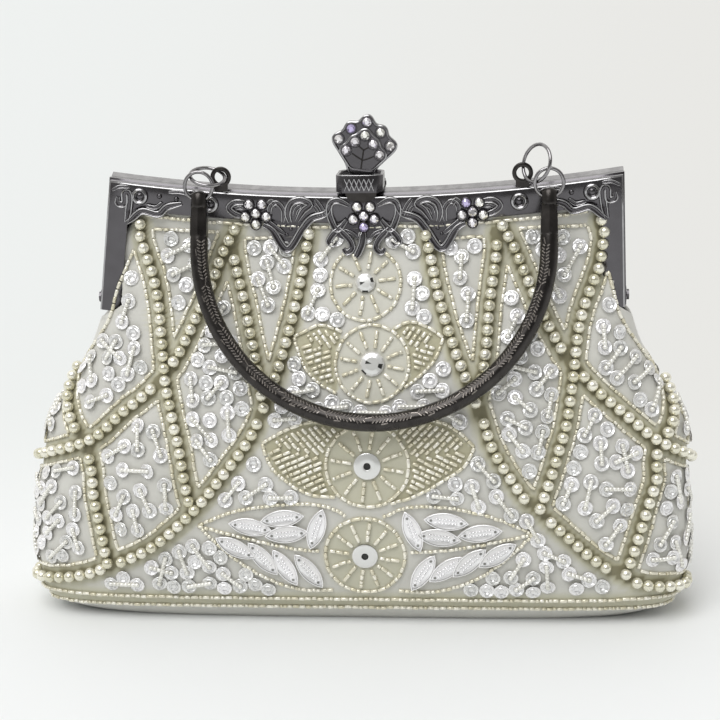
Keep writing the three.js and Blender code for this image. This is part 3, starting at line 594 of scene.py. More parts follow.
def spunProfile(bm, profile, steps, unit=1):
    chain = [bm.verts.new((reach * unit, 0, height * unit)) for reach, height in profile]
    edges = [bm.edges.new(pair) for pair in zip(chain, chain[1:])]
    bmesh.ops.spin(bm, geom=chain + edges, axis=(0, 0, 1), cent=(0, 0, 0), angle=2 * math.pi, steps=steps,
                   use_merge=True)


def raisedFace(bm, face, move):
    grown = bmesh.ops.extrude_face_region(bm, geom=[face])["geom"]
    cap = next(item for item in grown if isinstance(item, bmesh.types.BMFace))
    bmesh.ops.translate(bm, vec=move, verts=cap.verts)
    bm.normal_update()
    if cap.normal.dot(Vector(move)) < 0:
        cap.normal_flip()
    return cap


def paintFaces(verts, slot):
    for face in {face for vert in verts for face in vert.link_faces}:
        face.material_index = slot


# Glass pearls: an ivory lustre coat that gives each bead a soft highlight and a greenish shade.
pearlCoat = tonedMaterial("glass bead, pearl lustre coated", {
    "Metallic": 0.6, "Roughness": 0.2, "Coat Weight": 0.8, "Coat Roughness": 0.08}, "#d9d5bc", "#f6f3e4")

pearl = {"radius": 2.3, "pitch": 4.75, "offset": 2.1, "apart": 1.75, "pole": (0.3, 0.2, 1)}
bm = bmesh.new()
bmesh.ops.create_uvsphere(bm, u_segments=14, v_segments=9, radius=pearl["radius"])
for face in bm.faces:
    face.smooth = True
pearlShape = shapeOf(bm)
for sideName in ("left", "right"):
    spots, ups = [], []
    for name in pearlRoutes[sideName]:
        path, normal = pathOn(strands[sideName, name], pearl["offset"], 1)
        for bead in evenly(np.hstack([path, normal]), pearl["pitch"]):
            if all(np.linalg.norm(bead[:3] - other) > pearl["radius"] * pearl["apart"] for other in spots):
                spots.append(bead[:3])
                ups.append(bead[3:])
    spots, ups = np.array(spots), np.array(ups)
    turned = axesOf(np.cross(ups, [pearl["pole"]]), ups, 1)
    tones = [chance.random() for _ in spots]
    addPiece(f"pearls_{sideName}", scatter(f"pearls_{sideName}", pearlShape, spots, turned, tones), [pearlCoat],
             "bag", "pearl", f"pearl_strands_{sideName}")
    print("pearls", sideName, len(spots))


# Bugles: short glass tubes strung end to end, of uneven length.
bugle = {"radius": 0.74, "length": 2.6, "sides": 7, "bevel": 0.2, "offset": 0.55, "gap": 0.28, "short": 1.5,
         "long": 4.2, "least": 1.0, "wobble": (0.1, 0.05, 0.1), "clear": 0.9}
bm = bmesh.new()
bmesh.ops.create_cone(bm, cap_ends=True, segments=bugle["sides"], radius1=bugle["radius"], radius2=bugle["radius"],
                      depth=bugle["length"], matrix=Matrix.Rotation(math.pi / 2, 4, "Y"))
rims = [edge for edge in bm.edges if abs(edge.verts[0].co.x - edge.verts[1].co.x) < 0.01]
bmesh.ops.bevel(bm, geom=rims, offset=bugle["bevel"], segments=1, profile=0.5, material=-1, affect="EDGES")
for face in bm.faces:
    face.smooth = len(face.verts) == 4
bugleShape = shapeOf(bm)
bugles = {1: [], -1: []}


def pointAt(distance, reach, path):
    return np.array([np.interp(distance, reach, path[:, k]) for k in range(3)])


def stringBugles(route, panel, short=bugle["short"], long=bugle["long"]):
    path, normal = pathOn(evenly(np.asarray(route, float), 0.7), bugle["offset"], panel)
    gaps = np.linalg.norm(np.diff(path, axis=0), axis=1)
    reach = np.concatenate([[0], np.cumsum(gaps)])
    start, total = 0.0, reach[-1]
    while total - start > bugle["least"]:
        size = chance.uniform(short, long)
        if total - start - size < bugle["least"]:
            size = total - start
        first, last = [pointAt(s, reach, path) for s in (start + bugle["gap"] / 2, start + size - bugle["gap"] / 2)]
        wobble = np.array([chance.gauss(0, amount) for amount in bugle["wobble"]])
        bugles[panel].append(((first + last) / 2 + wobble, last - first, pointAt(start + size / 2, reach, normal)))
        start += size


def bothPanels(route, **sizes):
    for panel in (1, -1):
        stringBugles(route, panel, **sizes)


for strand in strands.values():
    stringBugles(strand, -1)
for lines in cellLines:
    for line in lines:
        bothPanels(line)
spoke = {"turn": 0.3, "hubGap": 0.9, "rimGap": 1.7}
for wheel, centre in zip(wheels, wheelCentres):
    marks = np.linspace(wheel["hub"] + spoke["hubGap"], wheel["radius"] - spoke["rimGap"], 12)
    for panel in (1, -1):
        stringBugles(ringRoute(wheel, wheel["radius"]), panel)
        for k in range(wheel["spokes"]):
            angle = 2 * math.pi * (k + spoke["turn"]) / wheel["spokes"]
            stringBugles(centre + np.outer(marks, [math.sin(angle), math.cos(angle)]), panel)


def clearOf(route):
    far = np.ones(len(route), bool)
    for wheel, centre in zip(wheels, wheelCentres):
        far &= np.linalg.norm(route - centre, axis=1) > wheel["radius"] + bugle["clear"]
    return route[far]


# Leaves are hatched in a herringbone off the vein, on the front only.
leafHatch = {"from": 0.7, "to": 46, "step": 0.4, "rows": 21, "pitch": 3.7, "start": 0.8, "lean": math.radians(35),
             "edge": 1.5, "wheel": 1.4, "least": 5}
steps = np.arange(leafHatch["from"], leafHatch["to"], leafHatch["step"])
for leaf, outline in zip(leaves, leafOutlines):
    hub, reach = wheelCentres[leaf["wheel"]], wheels[leaf["wheel"]]["radius"]
    tip = outline["over"][0]
    vein = (hub - tip) / np.linalg.norm(hub - tip)
    for panel in (1, -1):
        stringBugles(clearOf(outline["over"]), panel)
        stringBugles(clearOf(outline["under"]), panel)
    whole = evenly(outline["whole"], 0.8)
    for k in range(1, leafHatch["rows"] + 1):
        root = tip + vein * (k * leafHatch["pitch"] + leafHatch["start"])
        for lean in (leafHatch["lean"], -leafHatch["lean"]):
            way = np.array([vein[0] * math.cos(lean) - vein[1] * math.sin(lean),
                            vein[0] * math.sin(lean) + vein[1] * math.cos(lean)])
            points = root - way * steps[:, None]
            good = inside(points, outline["whole"]) & (nearest(points, whole) > leafHatch["edge"])
            good &= np.linalg.norm(points - hub, axis=1) > reach + leafHatch["wheel"]
            if good.any():
                start = int(np.argmax(good))
                length = len(good) - start if good[start:].all() else int(np.argmin(good[start:]))
                if length > leafHatch["least"]:
                    stringBugles(points[start:start + length], 1)
for route in frondRoutes:
    bothPanels(clearOf(route), short=1.3, long=2.6)

# One row under the frame and two along the hem.
straightRows = {"topLevel": 150.2, "topHalf": 86, "hemLevels": (2.0, 6.4), "hemShare": 0.998, "count": 300}
reach = np.linspace(-1, 1, straightRows["count"])
bothPanels(np.stack([reach * straightRows["topHalf"], np.full(len(reach), straightRows["topLevel"])], axis=-1))
for level in straightRows["hemLevels"]:
    row = reach * halfAt(reach, level) * straightRows["hemShare"]
    bothPanels(np.stack([row, np.full(len(reach), level)], axis=-1), short=1.4, long=3.2)

# Silver-lined glass: pale gold tubes that sparkle along their length.
bugleGlass = tonedMaterial("glass tube bead, silver lined", {
    "Metallic": 0.3, "Roughness": 0.22, "Coat Weight": 0.8, "Coat Roughness": 0.06}, "#dad4ba", "#fcf9ec")
for panel, panelName in ((1, "front"), (-1, "back")):
    middles, alongs, ups = [np.array(part) for part in zip(*bugles[panel])]
    sizes = np.linalg.norm(alongs, axis=1)
    scales = np.stack([sizes / bugle["length"], np.ones(len(sizes)), np.ones(len(sizes))], axis=-1)
    tones = [chance.random() for _ in middles]
    mesh = scatter(f"bugles_{panelName}", bugleShape, middles, axesOf(alongs, ups, scales), tones)
    addPiece(f"bugles_{panelName}", mesh, [bugleGlass], "bag", "satin")
    print("bugles", panelName, len(middles))


# Sequins in pairs with a bar of seed beads between, thrown at random into the free cloth.
sequin = {"profile": [(0, 0.3), (0.9, 0.3), (1.35, 0.62), (1.75, 0.62), (2.0, 0.42), (2.82, 0.6), (3.12, 0.48),
                      (3.12, 0.3), (0, 0)],
          "points": 13, "ripple": 0.13, "rippled": (1.9, 2.4, 2.9), "offset": 0.5, "tilt": 0.1,
          "near": 7.4, "far": 10.8, "gap": 5.5, "barGap": 4.2, "edge": 2.8, "strand": 5.6, "wheel": 3.5, "hem": 10.5,
          "pairs": 2.4, "singles": 0.6}
bm = bmesh.new()
spunProfile(bm, sequin["profile"], sequin["points"])
bmesh.ops.remove_doubles(bm, verts=bm.verts, dist=0.001)
inner, middle, outer = sequin["rippled"]
for vert in bm.verts:
    reach = vert.co.to_2d().length
    if inner < reach < outer:
        point = round(math.atan2(vert.co.y, vert.co.x) / (2 * math.pi / sequin["points"]))
        vert.co.z += sequin["ripple"] * (-1) ** point * (1 if reach > middle else -1)
bmesh.ops.recalc_face_normals(bm, faces=bm.faces)
for face in bm.faces:
    spread = face.calc_center_median().to_2d().length
    face.smooth = spread < 0.8 or spread > 2.88
    # The outermost ring takes the painted shade, a dark line for each disc's shadow.
    face.material_index = 1 if 0.6 < spread < 1.95 and face.normal.z > 0 else 2 if spread > 2.9 else 0
sequinShape = shapeOf(bm)

centreField = np.vstack([strands["left", "sweep"], strands["right", "sweep"][::-1]])
keepOff = [strandPoints, linePoints]
for wheel in wheels:
    keepOff += [ringRoute(wheel, wheel["radius"] + 0.5), ringRoute(wheel, wheel["radius"] * 0.6)]
keepOff += [evenly(outline["whole"], 1) for outline in leafOutlines]
keepOff += [evenly(route, 1) for route in frondRoutes]
keepOff = np.vstack(keepOff)
keepOffTree = KDTree(len(keepOff))
for i, (x, y) in enumerate(keepOff):
    keepOffTree.insert((x, y, 0), i)
keepOffTree.balance()
closedShapes = [outline["whole"] for outline in leafOutlines]
closedShapes += [np.vstack([frondRoutes[k][::-1], frondRoutes[k + 2]]) for k in (0, 3)]


def throwSequins(outline, pairs, singles):
    low, high = outline.min(axis=0), outline.max(axis=0)

    def free(point):
        spotted = np.array([point])
        return (keepOffTree.find((*point, 0))[2] > sequin["edge"] and point[1] > sequin["hem"]
                and nearest(spotted, strandPoints)[0] > sequin["strand"] and inside(spotted, outline)[0]
                and not any(inside(spotted, shape)[0] for shape in closedShapes)
                and all(np.linalg.norm(point - centre) > wheel["radius"] + sequin["wheel"]
                        for wheel, centre in zip(wheels, wheelCentres)))

    def roomy(point, gap):
        return all((point[0] - q[0]) ** 2 + (point[1] - q[1]) ** 2 > gap ** 2 for q in taken)

    def fits(point):
        return free(point) and roomy(point, sequin["gap"])

    taken, bars = [], []
    for _ in range(pairs):
        first = np.array([chance.uniform(low[0], high[0]), chance.uniform(low[1], high[1])])
        angle = chance.uniform(0, 2 * math.pi)
        second = first + chance.uniform(sequin["near"], sequin["far"]) * np.array([math.cos(angle), math.sin(angle)])
        if fits(first) and fits(second) and roomy((first + second) / 2, sequin["barGap"]):
            taken += [first, second]
            bars.append((first, second))
    for _ in range(singles):
        first = np.array([chance.uniform(low[0], high[0]), chance.uniform(low[1], high[1])])
        if fits(first):
            taken.append(first)
    return taken, bars


sequinSpots, sequinBars = [], []
for outline in [cell["outline"] for cell in cells] + [centreField]:
    area = np.ptp(outline[:, 0]) * np.ptp(outline[:, 1])
    spots, bars = throwSequins(outline, int(area * sequin["pairs"]), int(area * sequin["singles"]))
    sequinSpots += spots
    sequinBars += bars
print("sequins", len(sequinSpots), "bars", len(sequinBars))

# Sequin film: clear cupped discs with a silver, slightly rainbow shine.
sequinFilm = tonedMaterial("sequin film, pressed and silvered", {
    "Metallic": 0.4, "Roughness": 0.18, "Coat Weight": 0.7, "Coat Roughness": 0.05,
    "Thin Film Thickness": 320, "Thin Film IOR": 1.4}, "#e3e3df", "#fbfafa")
# Pressed heart of a sequin: a mirror of silver, broken by its facets.
sequinHeart = tonedMaterial("sequin film, silvered and embossed", {
    "Metallic": 0.55, "Roughness": 0.16, "Coat Weight": 0.6, "Coat Roughness": 0.05}, "#cfcfcd", "#f7f6f8")
# Painted shade: a thin dark grey line round each disc for its shadow, also used for the dark holes, grooves and glints
# of hubs and paillettes.
sequinPaintedShade = tonedMaterial("sequin film, painted shade", {"Metallic": 0.6, "Roughness": 0.35}, "#3a3a38", "#8d8c88")
# Clear seed beads: bright silvery bars between the sequins.
seedGlass = tonedMaterial("glass seed bead, silver lined", {
    "Metallic": 0.3, "Roughness": 0.16, "Coat Weight": 0.8, "Coat Roughness": 0.05}, "#d5d3c8", "#fbfaf4")

# Seed beads are the bugle's shape, shorter and thicker.
seed = {"pitch": 1.5, "offset": 1.35, "scale": (0.6, 1.15, 1.15)}
spots = np.array(sequinSpots)
for panel, panelName in ((1, "front"), (-1, "back")):
    path, normal = pathOn(spots, sequin["offset"], panel)
    tilt = normal + np.array([[chance.gauss(0, sequin["tilt"]) for _ in range(3)] for _ in spots])
    tones = [chance.random() for _ in spots]
    mesh = scatter(f"sequins_{panelName}", sequinShape, path, axesOf(np.cross(tilt, [[0.4, 0.3, 0.8]]), tilt, 1), tones)
    addPiece(f"sequins_{panelName}", mesh, [sequinFilm, sequinHeart, sequinPaintedShade], "bag", "satin")
    places, alongs, ups = [], [], []
    for first, second in sequinBars:
        count = int(round(np.linalg.norm(second - first) / seed["pitch"])) + 1
        points, up = pathOn(first + np.outer(np.linspace(0, 1, count), second - first), seed["offset"], panel)
        places += list(points)
        alongs += [points[-1] - points[0]] * count
        ups += list(up)
    places, alongs, ups = np.array(places), np.array(alongs), np.array(ups)
    mesh = scatter(f"seeds_{panelName}", bugleShape, places, axesOf(alongs, ups, seed["scale"]),
                   [0.4 + 0.6 * chance.random() for _ in places])
    addPiece(f"seeds_{panelName}", mesh, [seedGlass], "bag", "satin")


# Paillettes: pressed pointed ovals of silvered film with a raised rib, sewn through a hole at each end.
paillette = {"length": 17.8, "width": 7.2, "offset": 1.1, "thick": 0.3,
             "insets": [(0.2, 0.16, 0), (0.3, 0.0, 0), (0.16, -0.2, 2)],
             "bumps": 7, "bumpPitch": 1.25, "bumpAside": 0.72, "bumpRadius": 0.6, "bumpScale": (1.1, 0.8, 0.7, 1),
             "hole": 5.9, "discs": [(1.05, 0.32, 1), (0.66, 0.38, 2)]}


def marquise(length, width, count=10):
    s = np.linspace(-1, 1, count + 1)
    edge = (1 - s ** 2) ** 0.85 * width / 2
    top = np.stack([s * length / 2, edge], axis=-1)
    return np.vstack([top, (top * [1, -1])[-2:0:-1]])


bm = bmesh.new()
blade = bm.faces.new([bm.verts.new((x, y, 0)) for x, y in marquise(paillette["length"], paillette["width"])])
blade = raisedFace(bm, blade, (0, 0, paillette["thick"]))
# The third ring, sunk below the rest, takes the painted shade of the step down into it.
for thickness, lift, slot in paillette["insets"]:
    ring = bmesh.ops.inset_region(bm, faces=[blade], thickness=thickness, depth=lift, use_even_offset=True)
    for face in ring["faces"]:
        face.material_index = slot
for k in range(2 * paillette["bumps"]):
    place = ((k // 2 - paillette["bumps"] // 2) * paillette["bumpPitch"],
             paillette["bumpAside"] if k % 2 else -paillette["bumpAside"], paillette["thick"])
    ball = bmesh.ops.create_uvsphere(bm, u_segments=6, v_segments=4, radius=paillette["bumpRadius"],
                                     matrix=Matrix.Translation(place) @ Matrix.Diagonal(paillette["bumpScale"]))
    paintFaces(ball["verts"], 1)
for face in bm.faces:
    face.smooth = True
# At each end the small inner disc is painted dark: painted shade for the hole.
for end in (-1, 1):
    for radius, lift, slot in paillette["discs"]:
        disc = bmesh.ops.create_cone(bm, cap_ends=True, segments=10, radius1=radius, radius2=radius * 0.85, depth=0.3,
                                     matrix=Matrix.Translation((end * paillette["hole"], 0, lift)))
        paintFaces(disc["verts"], slot)
bmesh.ops.recalc_face_normals(bm, faces=bm.faces)
pailletteShape = shapeOf(bm)
spots = onCloth([(x, z) for x, z, _ in paillettes])
path, normal = pathOn(spots, paillette["offset"], 1)
alongs = np.array([[math.cos(math.radians(a)), 0, math.sin(math.radians(a))] for _, _, a in paillettes])
mesh = scatter("paillettes_front", pailletteShape, path, axesOf(alongs, normal, 1),
               [0.6 + 0.4 * chance.random() for _ in paillettes])
addPiece("paillettes_front", mesh, [sequinFilm, sequinHeart, sequinPaintedShade], "bag", "satin")
print("paillettes", len(paillettes))


# Metalwork: sections are extruded along their way, round things are spun, edges are beveled.
def sweep(bm, sections, rubbedAndLit=()):
    face = bm.faces.new([bm.verts.new(Vector(point) * mm) for point in sections[0]])
    for number, section in enumerate(sections[1:]):
        grown = bmesh.ops.extrude_face_region(bm, geom=[face])["geom"]
        if number:
            bm.faces.remove(face)
        face = next(item for item in grown if isinstance(item, bmesh.types.BMFace))
        for vert, point in zip(face.verts, section):
            vert.co = Vector(point) * mm
        # Faces beside the listed edges of the section take the rubbed plating and painted highlight.
        for k in rubbedAndLit:
            for beside in bm.edges.get((face.verts[k], face.verts[(k + 1) % len(section)])).link_faces:
                beside.material_index = 0 if beside is face else 1


def turnedShape(bm, profile, place, steps=24, axis="Y", rubbedAndLit=None):
    if profile[0][0] and profile[0] != profile[-1]:
        profile = [(0, profile[0][1]), *profile]
    before = set(bm.verts)
    spunProfile(bm, profile, steps, mm)
    turned = [vert for vert in bm.verts if vert not in before]
    # Faces in the given band of reach take the rubbed plating and painted highlight.
    for face in {face for vert in turned for face in vert.link_faces} if rubbedAndLit else ():
        if rubbedAndLit[0] < face.calc_center_median().to_2d().length / mm < rubbedAndLit[1]:
            face.material_index = 1
    turn = Matrix.Rotation(math.pi / 2, 4, "X" if axis == "Y" else "Y")
    bmesh.ops.transform(bm, matrix=Matrix.Translation(Vector(place) * mm) @ turn, verts=turned)


def plainBox(bm, centre, size):
    place = Matrix.Translation(Vector(centre) * mm) @ Matrix.Diagonal([*(Vector(size) * mm), 1])
    bmesh.ops.create_cube(bm, size=1, matrix=place)


def plainPin(bm, centre, radius, length, segments):
    place = Matrix.Translation(Vector(centre) * mm) @ Matrix.Rotation(math.pi / 2, 4, "Y")
    bmesh.ops.create_cone(bm, cap_ends=True, segments=segments, radius1=radius * mm, radius2=radius * mm,
                          depth=length * mm, matrix=place)


def headings(path):
    ways = np.gradient(path, axis=0)
    return ways / np.linalg.norm(ways, axis=1, keepdims=True)


def tube(bm, path, radius, asides, rubbedAndLit=()):
    around = np.linspace(0, 2 * math.pi, 7)[:-1]
    sweep(bm, [[point + radius * (aside * math.cos(a) - np.array([0, math.sin(a), 0])) for a in around]
               for point, aside in zip(path, asides)], rubbedAndLit)


def finishMesh(bm, name, sharp=34):
    bmesh.ops.remove_doubles(bm, verts=bm.verts, dist=0.00001)
    bmesh.ops.recalc_face_normals(bm, faces=bm.faces)
    mesh = bpy.data.meshes.new(name)
    bm.to_mesh(mesh)
    bm.free()
    mesh.polygons.foreach_set("use_smooth", [True] * len(mesh.polygons))
    mesh.set_sharp_from_angle(angle=math.radians(sharp))
    return mesh


# Plated casting: near black in the hollows, with a soft grey sheen and a faint violet cast.
gunmetal, tree, shader, spot = platedMaterial(
    "zinc casting, gunmetal plated", 5.556, 4, "#575557", "#6b696c", 0.16, 0.3)
# The skin of a real casting is finer. Its grain is drawn 0.6 mm wide, so that it shows.
castSkin = {"grain": 0.625, "depth": 0.2, "strength": 0.08}
grain = addNode(tree, "ShaderNodeTexNoise", {}, {"Vector": spot, "Scale": 1 / (castSkin["grain"] * mm), "Detail": 2})
bump = addNode(tree, "ShaderNodeBump", {}, {
    "Strength": castSkin["strength"], "Distance": castSkin["depth"] * mm, "Height": grain.outputs["Fac"]})
tree.links.new(bump.outputs["Normal"], shader.inputs["Normal"])
# Black nickel of the handle: deep brown black with a soft gloss. The same near black is painted shade in the hollow
# under the clasp and on the fan's veins.
blackPlateAndShade = platedMaterial("zinc casting, black nickel plated, also painted shade", 4.167, 4, "#312f2e", "#504d4b", 0.2, 0.38)[0]
# The same plating, lighter where it is rubbed and as painted highlight: thin light lines along ridges and rims and on
# the top of the frame.
rubbedAndHighlight = platedMaterial("zinc casting, plating rubbed bright, painted highlight", 3.846, 3, "#858486", "#c9c8c9", 0.12, 0.26)[0]

# The two halves of the frame: a channel over the arch and down both legs, stepped along the top.
frameShape = {"top": 168, "rise": 7.3, "halfWidth": 99.3, "legBottom": 123.5, "splay": 4.3, "face": 7.35,
              "parting": 0.15, "barHeight": 11, "legWidth": 9, "innerBar": 7, "innerLeg": 6, "wall": 1.7,
              "cornerGap": 10.5, "barSteps": 45, "legSteps": (0, 0.25, 0.5, 0.74), "footLean": 2.6,
              "hinge": 126.9, "hingeShift": 2.43, "ear": 103, "earRadius": 3.4, "earWidth": 1}


def archHeight(x):
    return frameShape["top"] + frameShape["rise"] * (x / frameShape["halfWidth"]) ** 2


# The section's corners: down from the bar's edge, in from the leg's edge, and out from the parting plane.
def channel(bm, towards, lift=0.0):
    bar, leg, face, wall = [frameShape[name] for name in ("barHeight", "legWidth", "face", "wall")]
    inner, parting = (frameShape["innerBar"], frameShape["innerLeg"]), frameShape["parting"]
    profile = [(0, 0, parting), (0, 0, 3.3), (0.7, 0.7, 3.7), (0.7, 0.7, 6.7), (0.9, 0.9, 7.15), (1.4, 1.4, face),
               (bar - 0.35, leg - 0.35, face), (bar, leg, face - 0.3), (bar, leg, face - 1), (wall, wall, face - 1),
               (wall, wall, parting + 1), (*inner, parting + 1), (*inner, parting)]
    corner, bottom = frameShape["halfWidth"], frameShape["legBottom"]
    top, reach = archHeight(corner), corner - frameShape["cornerGap"]
    stations = []
    for side in (-1, 1):
        foot = side * (corner + frameShape["splay"]) - frameShape["footLean"]
        rise = np.array([side * corner - foot, top - bottom])
        inward = -side * np.array([rise[1], -rise[0]]) / np.linalg.norm(rise)
        line = [((foot + rise[0] * t, bottom + rise[1] * t), 0, inward) for t in frameShape["legSteps"]]
        line.append(((side * corner, top), -1, inward))
        stations += line if side < 0 else line[::-1]
        if side < 0:
            stations += [((x, archHeight(x)), -1, (0, 0)) for x in np.linspace(-reach, reach, frameShape["barSteps"])]
    sections = []
    for (x, z), down, across in stations:
        sections.append([(x + across[0] * aside, towards * y, z + down * drop + across[1] * aside
                          + (lift if y > 1.2 and drop < 1.6 else 0)) for drop, aside, y in profile])
    # The top steps of the channel are painted lighter: painted highlight and rubbed plating.
    sweep(bm, sections, (0, 2, 4))


def hingeEar(bm, x):
    centre = (x - frameShape["hingeShift"], 0, frameShape["hinge"])
    plainPin(bm, centre, frameShape["earRadius"], frameShape["earWidth"], 24)


# Relief of the front: out from the middle and down from the arch, on both sides alike.
relief = {
    "bosses": [(59.6, 5.7, 3.3), (87, 5.3, 3.2)],
    "dots": [(79.2, 4.4, 1.1), (72.6, 4.9, 1.1), (28.4, 13.6, 0.8), (29.9, 15.8, 0.7), (30.2, 12.2, 0.6)],
    "strokes": [
        (1.1, [(5.5, 4.1), (9.7, 2.2), (12.6, 3.2), (13.3, 6), (12.6, 9.4), (10.3, 13.4), (6.6, 9.6)]),
        (1.05, [(10.2, 13.4), (12.8, 16.2), (13.6, 18.2), (11.9, 19), (11.2, 17.6)]),
        (1.05, [(9.8, 13), (5.6, 17.2), (4.6, 20.4), (6.6, 22.2), (8, 20.6)]),
        (1.3, [(12.8, 4), (15, 7.4), (20.3, 9.4), (23.8, 13.4), (29.8, 21.4), (35.4, 14.4), (39, 12.4)]),
        (1.15, [(28.6, 11), (29.4, 7.4), (28, 3.6), (24.2, 2.2), (20.6, 3.8), (23.4, 6.4), (25.8, 10.4)]),
        (0.75, [(26.8, 8.6), (26, 5.8), (23.6, 4.2)]),
        (1.05, [(45.2, 4.2), (49.8, 4.3), (52.2, 6.6), (49.6, 8.9), (46, 9.6)]),
        (0.6, [(46.4, 6.4), (48.2, 6.2), (49.8, 6.8)]),
        (1.15, [(95.4, 6.4), (95.6, 9), (93, 8.8), (92.6, 4.6), (90.8, 5.4), (91.6, 11.6), (92.6, 16)]),
        (1.15, [(92.6, 16.2), (90.6, 14.6), (86.2, 11), (80, 11.5), (76.4, 8.4), (70.6, 6.4)]),
        (0.7, [(84.6, 8.6), (81, 9), (78.2, 6.8)]),
        (0.75, [(33.6, 5.4), (35.4, 3), (37.6, 4.8)]),
        (0.7, [(14.9, 8.8), (16.2, 5), (18.6, 1.8)]),
        (0.6, [(17.2, 8.6), (18, 6.2), (19, 4.8)]),
        (0.85, [(31.4, 11), (31, 6.4), (33.4, 3.6), (36, 5), (36.4, 8.4)]),
        (0.8, [(30.8, 15.6), (34.4, 13), (38, 10.2)]),
        (0.6, [(97.6, 4.2), (94.4, 2.4), (90.6, 2.2)]),
        (0.6, [(66.4, 3), (70.6, 2), (75.4, 2.4)]),
        (0.6, [(2.4, 16.6), (4.4, 14.8), (7.6, 13.6)]),
    ],
    "stem": (1.3, [(-0.2, 14.35), (-0.9, 19), (-3.2, 24)]),
    "plates": [
        [(14.4, 7), (20.3, 9.6), (23.8, 13.6), (29.8, 21.2), (35.4, 14.6), (39, 10)],
        [(0, 10), (11, 10), (12, 14), (8.6, 17), (4, 16.2), (0, 17.6)],
        [(84, 9), (88, 9), (91, 9), (92.8, 14.6), (89.8, 13.4), (86, 10.8)],
    ],
    "flowers": [(0, 8.2), (-41.8, 8.1), (41.8, 8.1)], "petal": 4.3,
    "ribbon": [(1.15, -0.8), (1.15, 0.2), (1.08, 0.5), (0.92, 0.72), (0.74, 0.74), (0.58, 0.6), (0.46, 0.36),
               (0.26, 0.26), (-0.26, 0.26), (-0.46, 0.36), (-0.58, 0.6), (-0.74, 0.74), (-0.92, 0.72), (-1.08, 0.5),
               (-1.15, 0.2), (-1.15, -0.8)],
    "boss": [(1.06, -0.2), (1.06, 0.5), (0.94, 0.95), (0.74, 1.15), (0.6, 0.85), (0.52, 0.35), (0.42, 0.25),
             (0.3, 0.5), (0.16, 0.72), (0, 0.78)],
    "dot": [(1, -0.2), (0.96, 0.25), (0.72, 0.6), (0.4, 0.78), (0, 0.85)],
    "seat": [(2.25, -0.3), (2.25, 0.9), (2.1, 1.35), (1.85, 1.5), (1.65, 1.3), (1.6, 1.0), (0, 0.95)],
    "plateDepth": 0.8, "hangLean": 0.12,
}
lugShape = {"places": [(-55.2, 175.2), (60.8, 175.6)], "depth": -5.6, "footWidth": 5.2, "footThick": 1.1,
            "footSunk": 0.6, "footTop": 3.1,
            "profile": [(2.35, -0.4), (2.55, -0.6), (3.75, -0.6), (4, -0.35), (4, 0.35), (3.75, 0.6), (2.55, 0.6),
                        (2.35, 0.4), (2.35, -0.4)]}
# A thin black disc on the bar under the collar of the clasp: painted shadow of the collar.
paintedShadowShape = {"centre": (-0.9, -7.3, 168.6), "half": (6, 3.7), "thick": 0.3, "top": 168.7}


def reliefPoint(out, drop, forward=0.0):
    hang = max(0.0, drop - frameShape["barHeight"])
    return np.array([out, -frameShape["face"] - forward - relief["hangLean"] * hang, archHeight(out) - drop])


def reliefStroke(bm, radius, line, side):
    path = evenly(np.array([reliefPoint(side * out, drop, 0.35) for out, drop in spline(line, 8)]), 0.55)
    sections = []
    for k, (point, way) in enumerate(zip(path, headings(path))):
        share = k / (len(path) - 1)
        size = radius * 1.12 * (0.5 + 0.5 * min(1, 5 * min(share, 1 - share) + 0.15))
        out = np.cross(way, [0, 1, 0])
        sections.append([point + size * (out * u + np.array([0, -1, 0]) * v) for u, v in relief["ribbon"]])
    # The two rims of each ribbon are painted lighter: painted highlight and rubbed plating.
    sweep(bm, sections, (2, 3, 4, 10, 11, 12))


def petalPlaces(flower):
    out, drop = flower
    around = [2 * math.pi * k / 5 for k in range(5)]
    z = archHeight(out) - drop
    return [(out, z)] + [(out + relief["petal"] * math.sin(a), z - relief["petal"] * math.cos(a)) for a in around]


bm = bmesh.new()
channel(bm, -1)
for side in (-1, 1):
    for radius, line in relief["strokes"]:
        reliefStroke(bm, radius, line, side)
    for out, drop, radius in relief["bosses"]:
        boss = [(radius * r, h) for r, h in relief["boss"]]
        # The ring of each boss is painted lighter: painted highlight and rubbed plating.
        turnedShape(bm, boss, reliefPoint(side * out, drop), rubbedAndLit=(radius * 0.66, radius * 0.98))
    for out, drop, radius in relief["dots"]:
        turnedShape(bm, [(radius * r, radius * h) for r, h in relief["dot"]], reliefPoint(side * out, drop), 12)
    for plate in relief["plates"]:
        points = [reliefPoint(side * max(out, 0.02), drop, -0.2) for out, drop in spline(plate, 5)]
        front = bm.faces.new([bm.verts.new(Vector(point) * mm) for point in points])
        raisedFace(bm, front, (0, relief["plateDepth"] * mm, 0))
    hingeEar(bm, side * frameShape["ear"])
reliefStroke(bm, *relief["stem"], 1)
for flower in relief["flowers"]:
    for x, z in petalPlaces(flower):
        turnedShape(bm, relief["seat"], (x, -frameShape["face"], z), 16)
for x, z in lugShape["places"]:
    before = set(bm.verts)
    turnedShape(bm, lugShape["profile"], (x, lugShape["depth"], z), 28)
    low, high = archHeight(x) - lugShape["footSunk"], z - lugShape["footTop"]
    plainBox(bm, (x, lugShape["depth"], (low + high) / 2), (lugShape["footWidth"], lugShape["footThick"], high - low))
    paintFaces([vert for vert in bm.verts if vert not in before], 2)
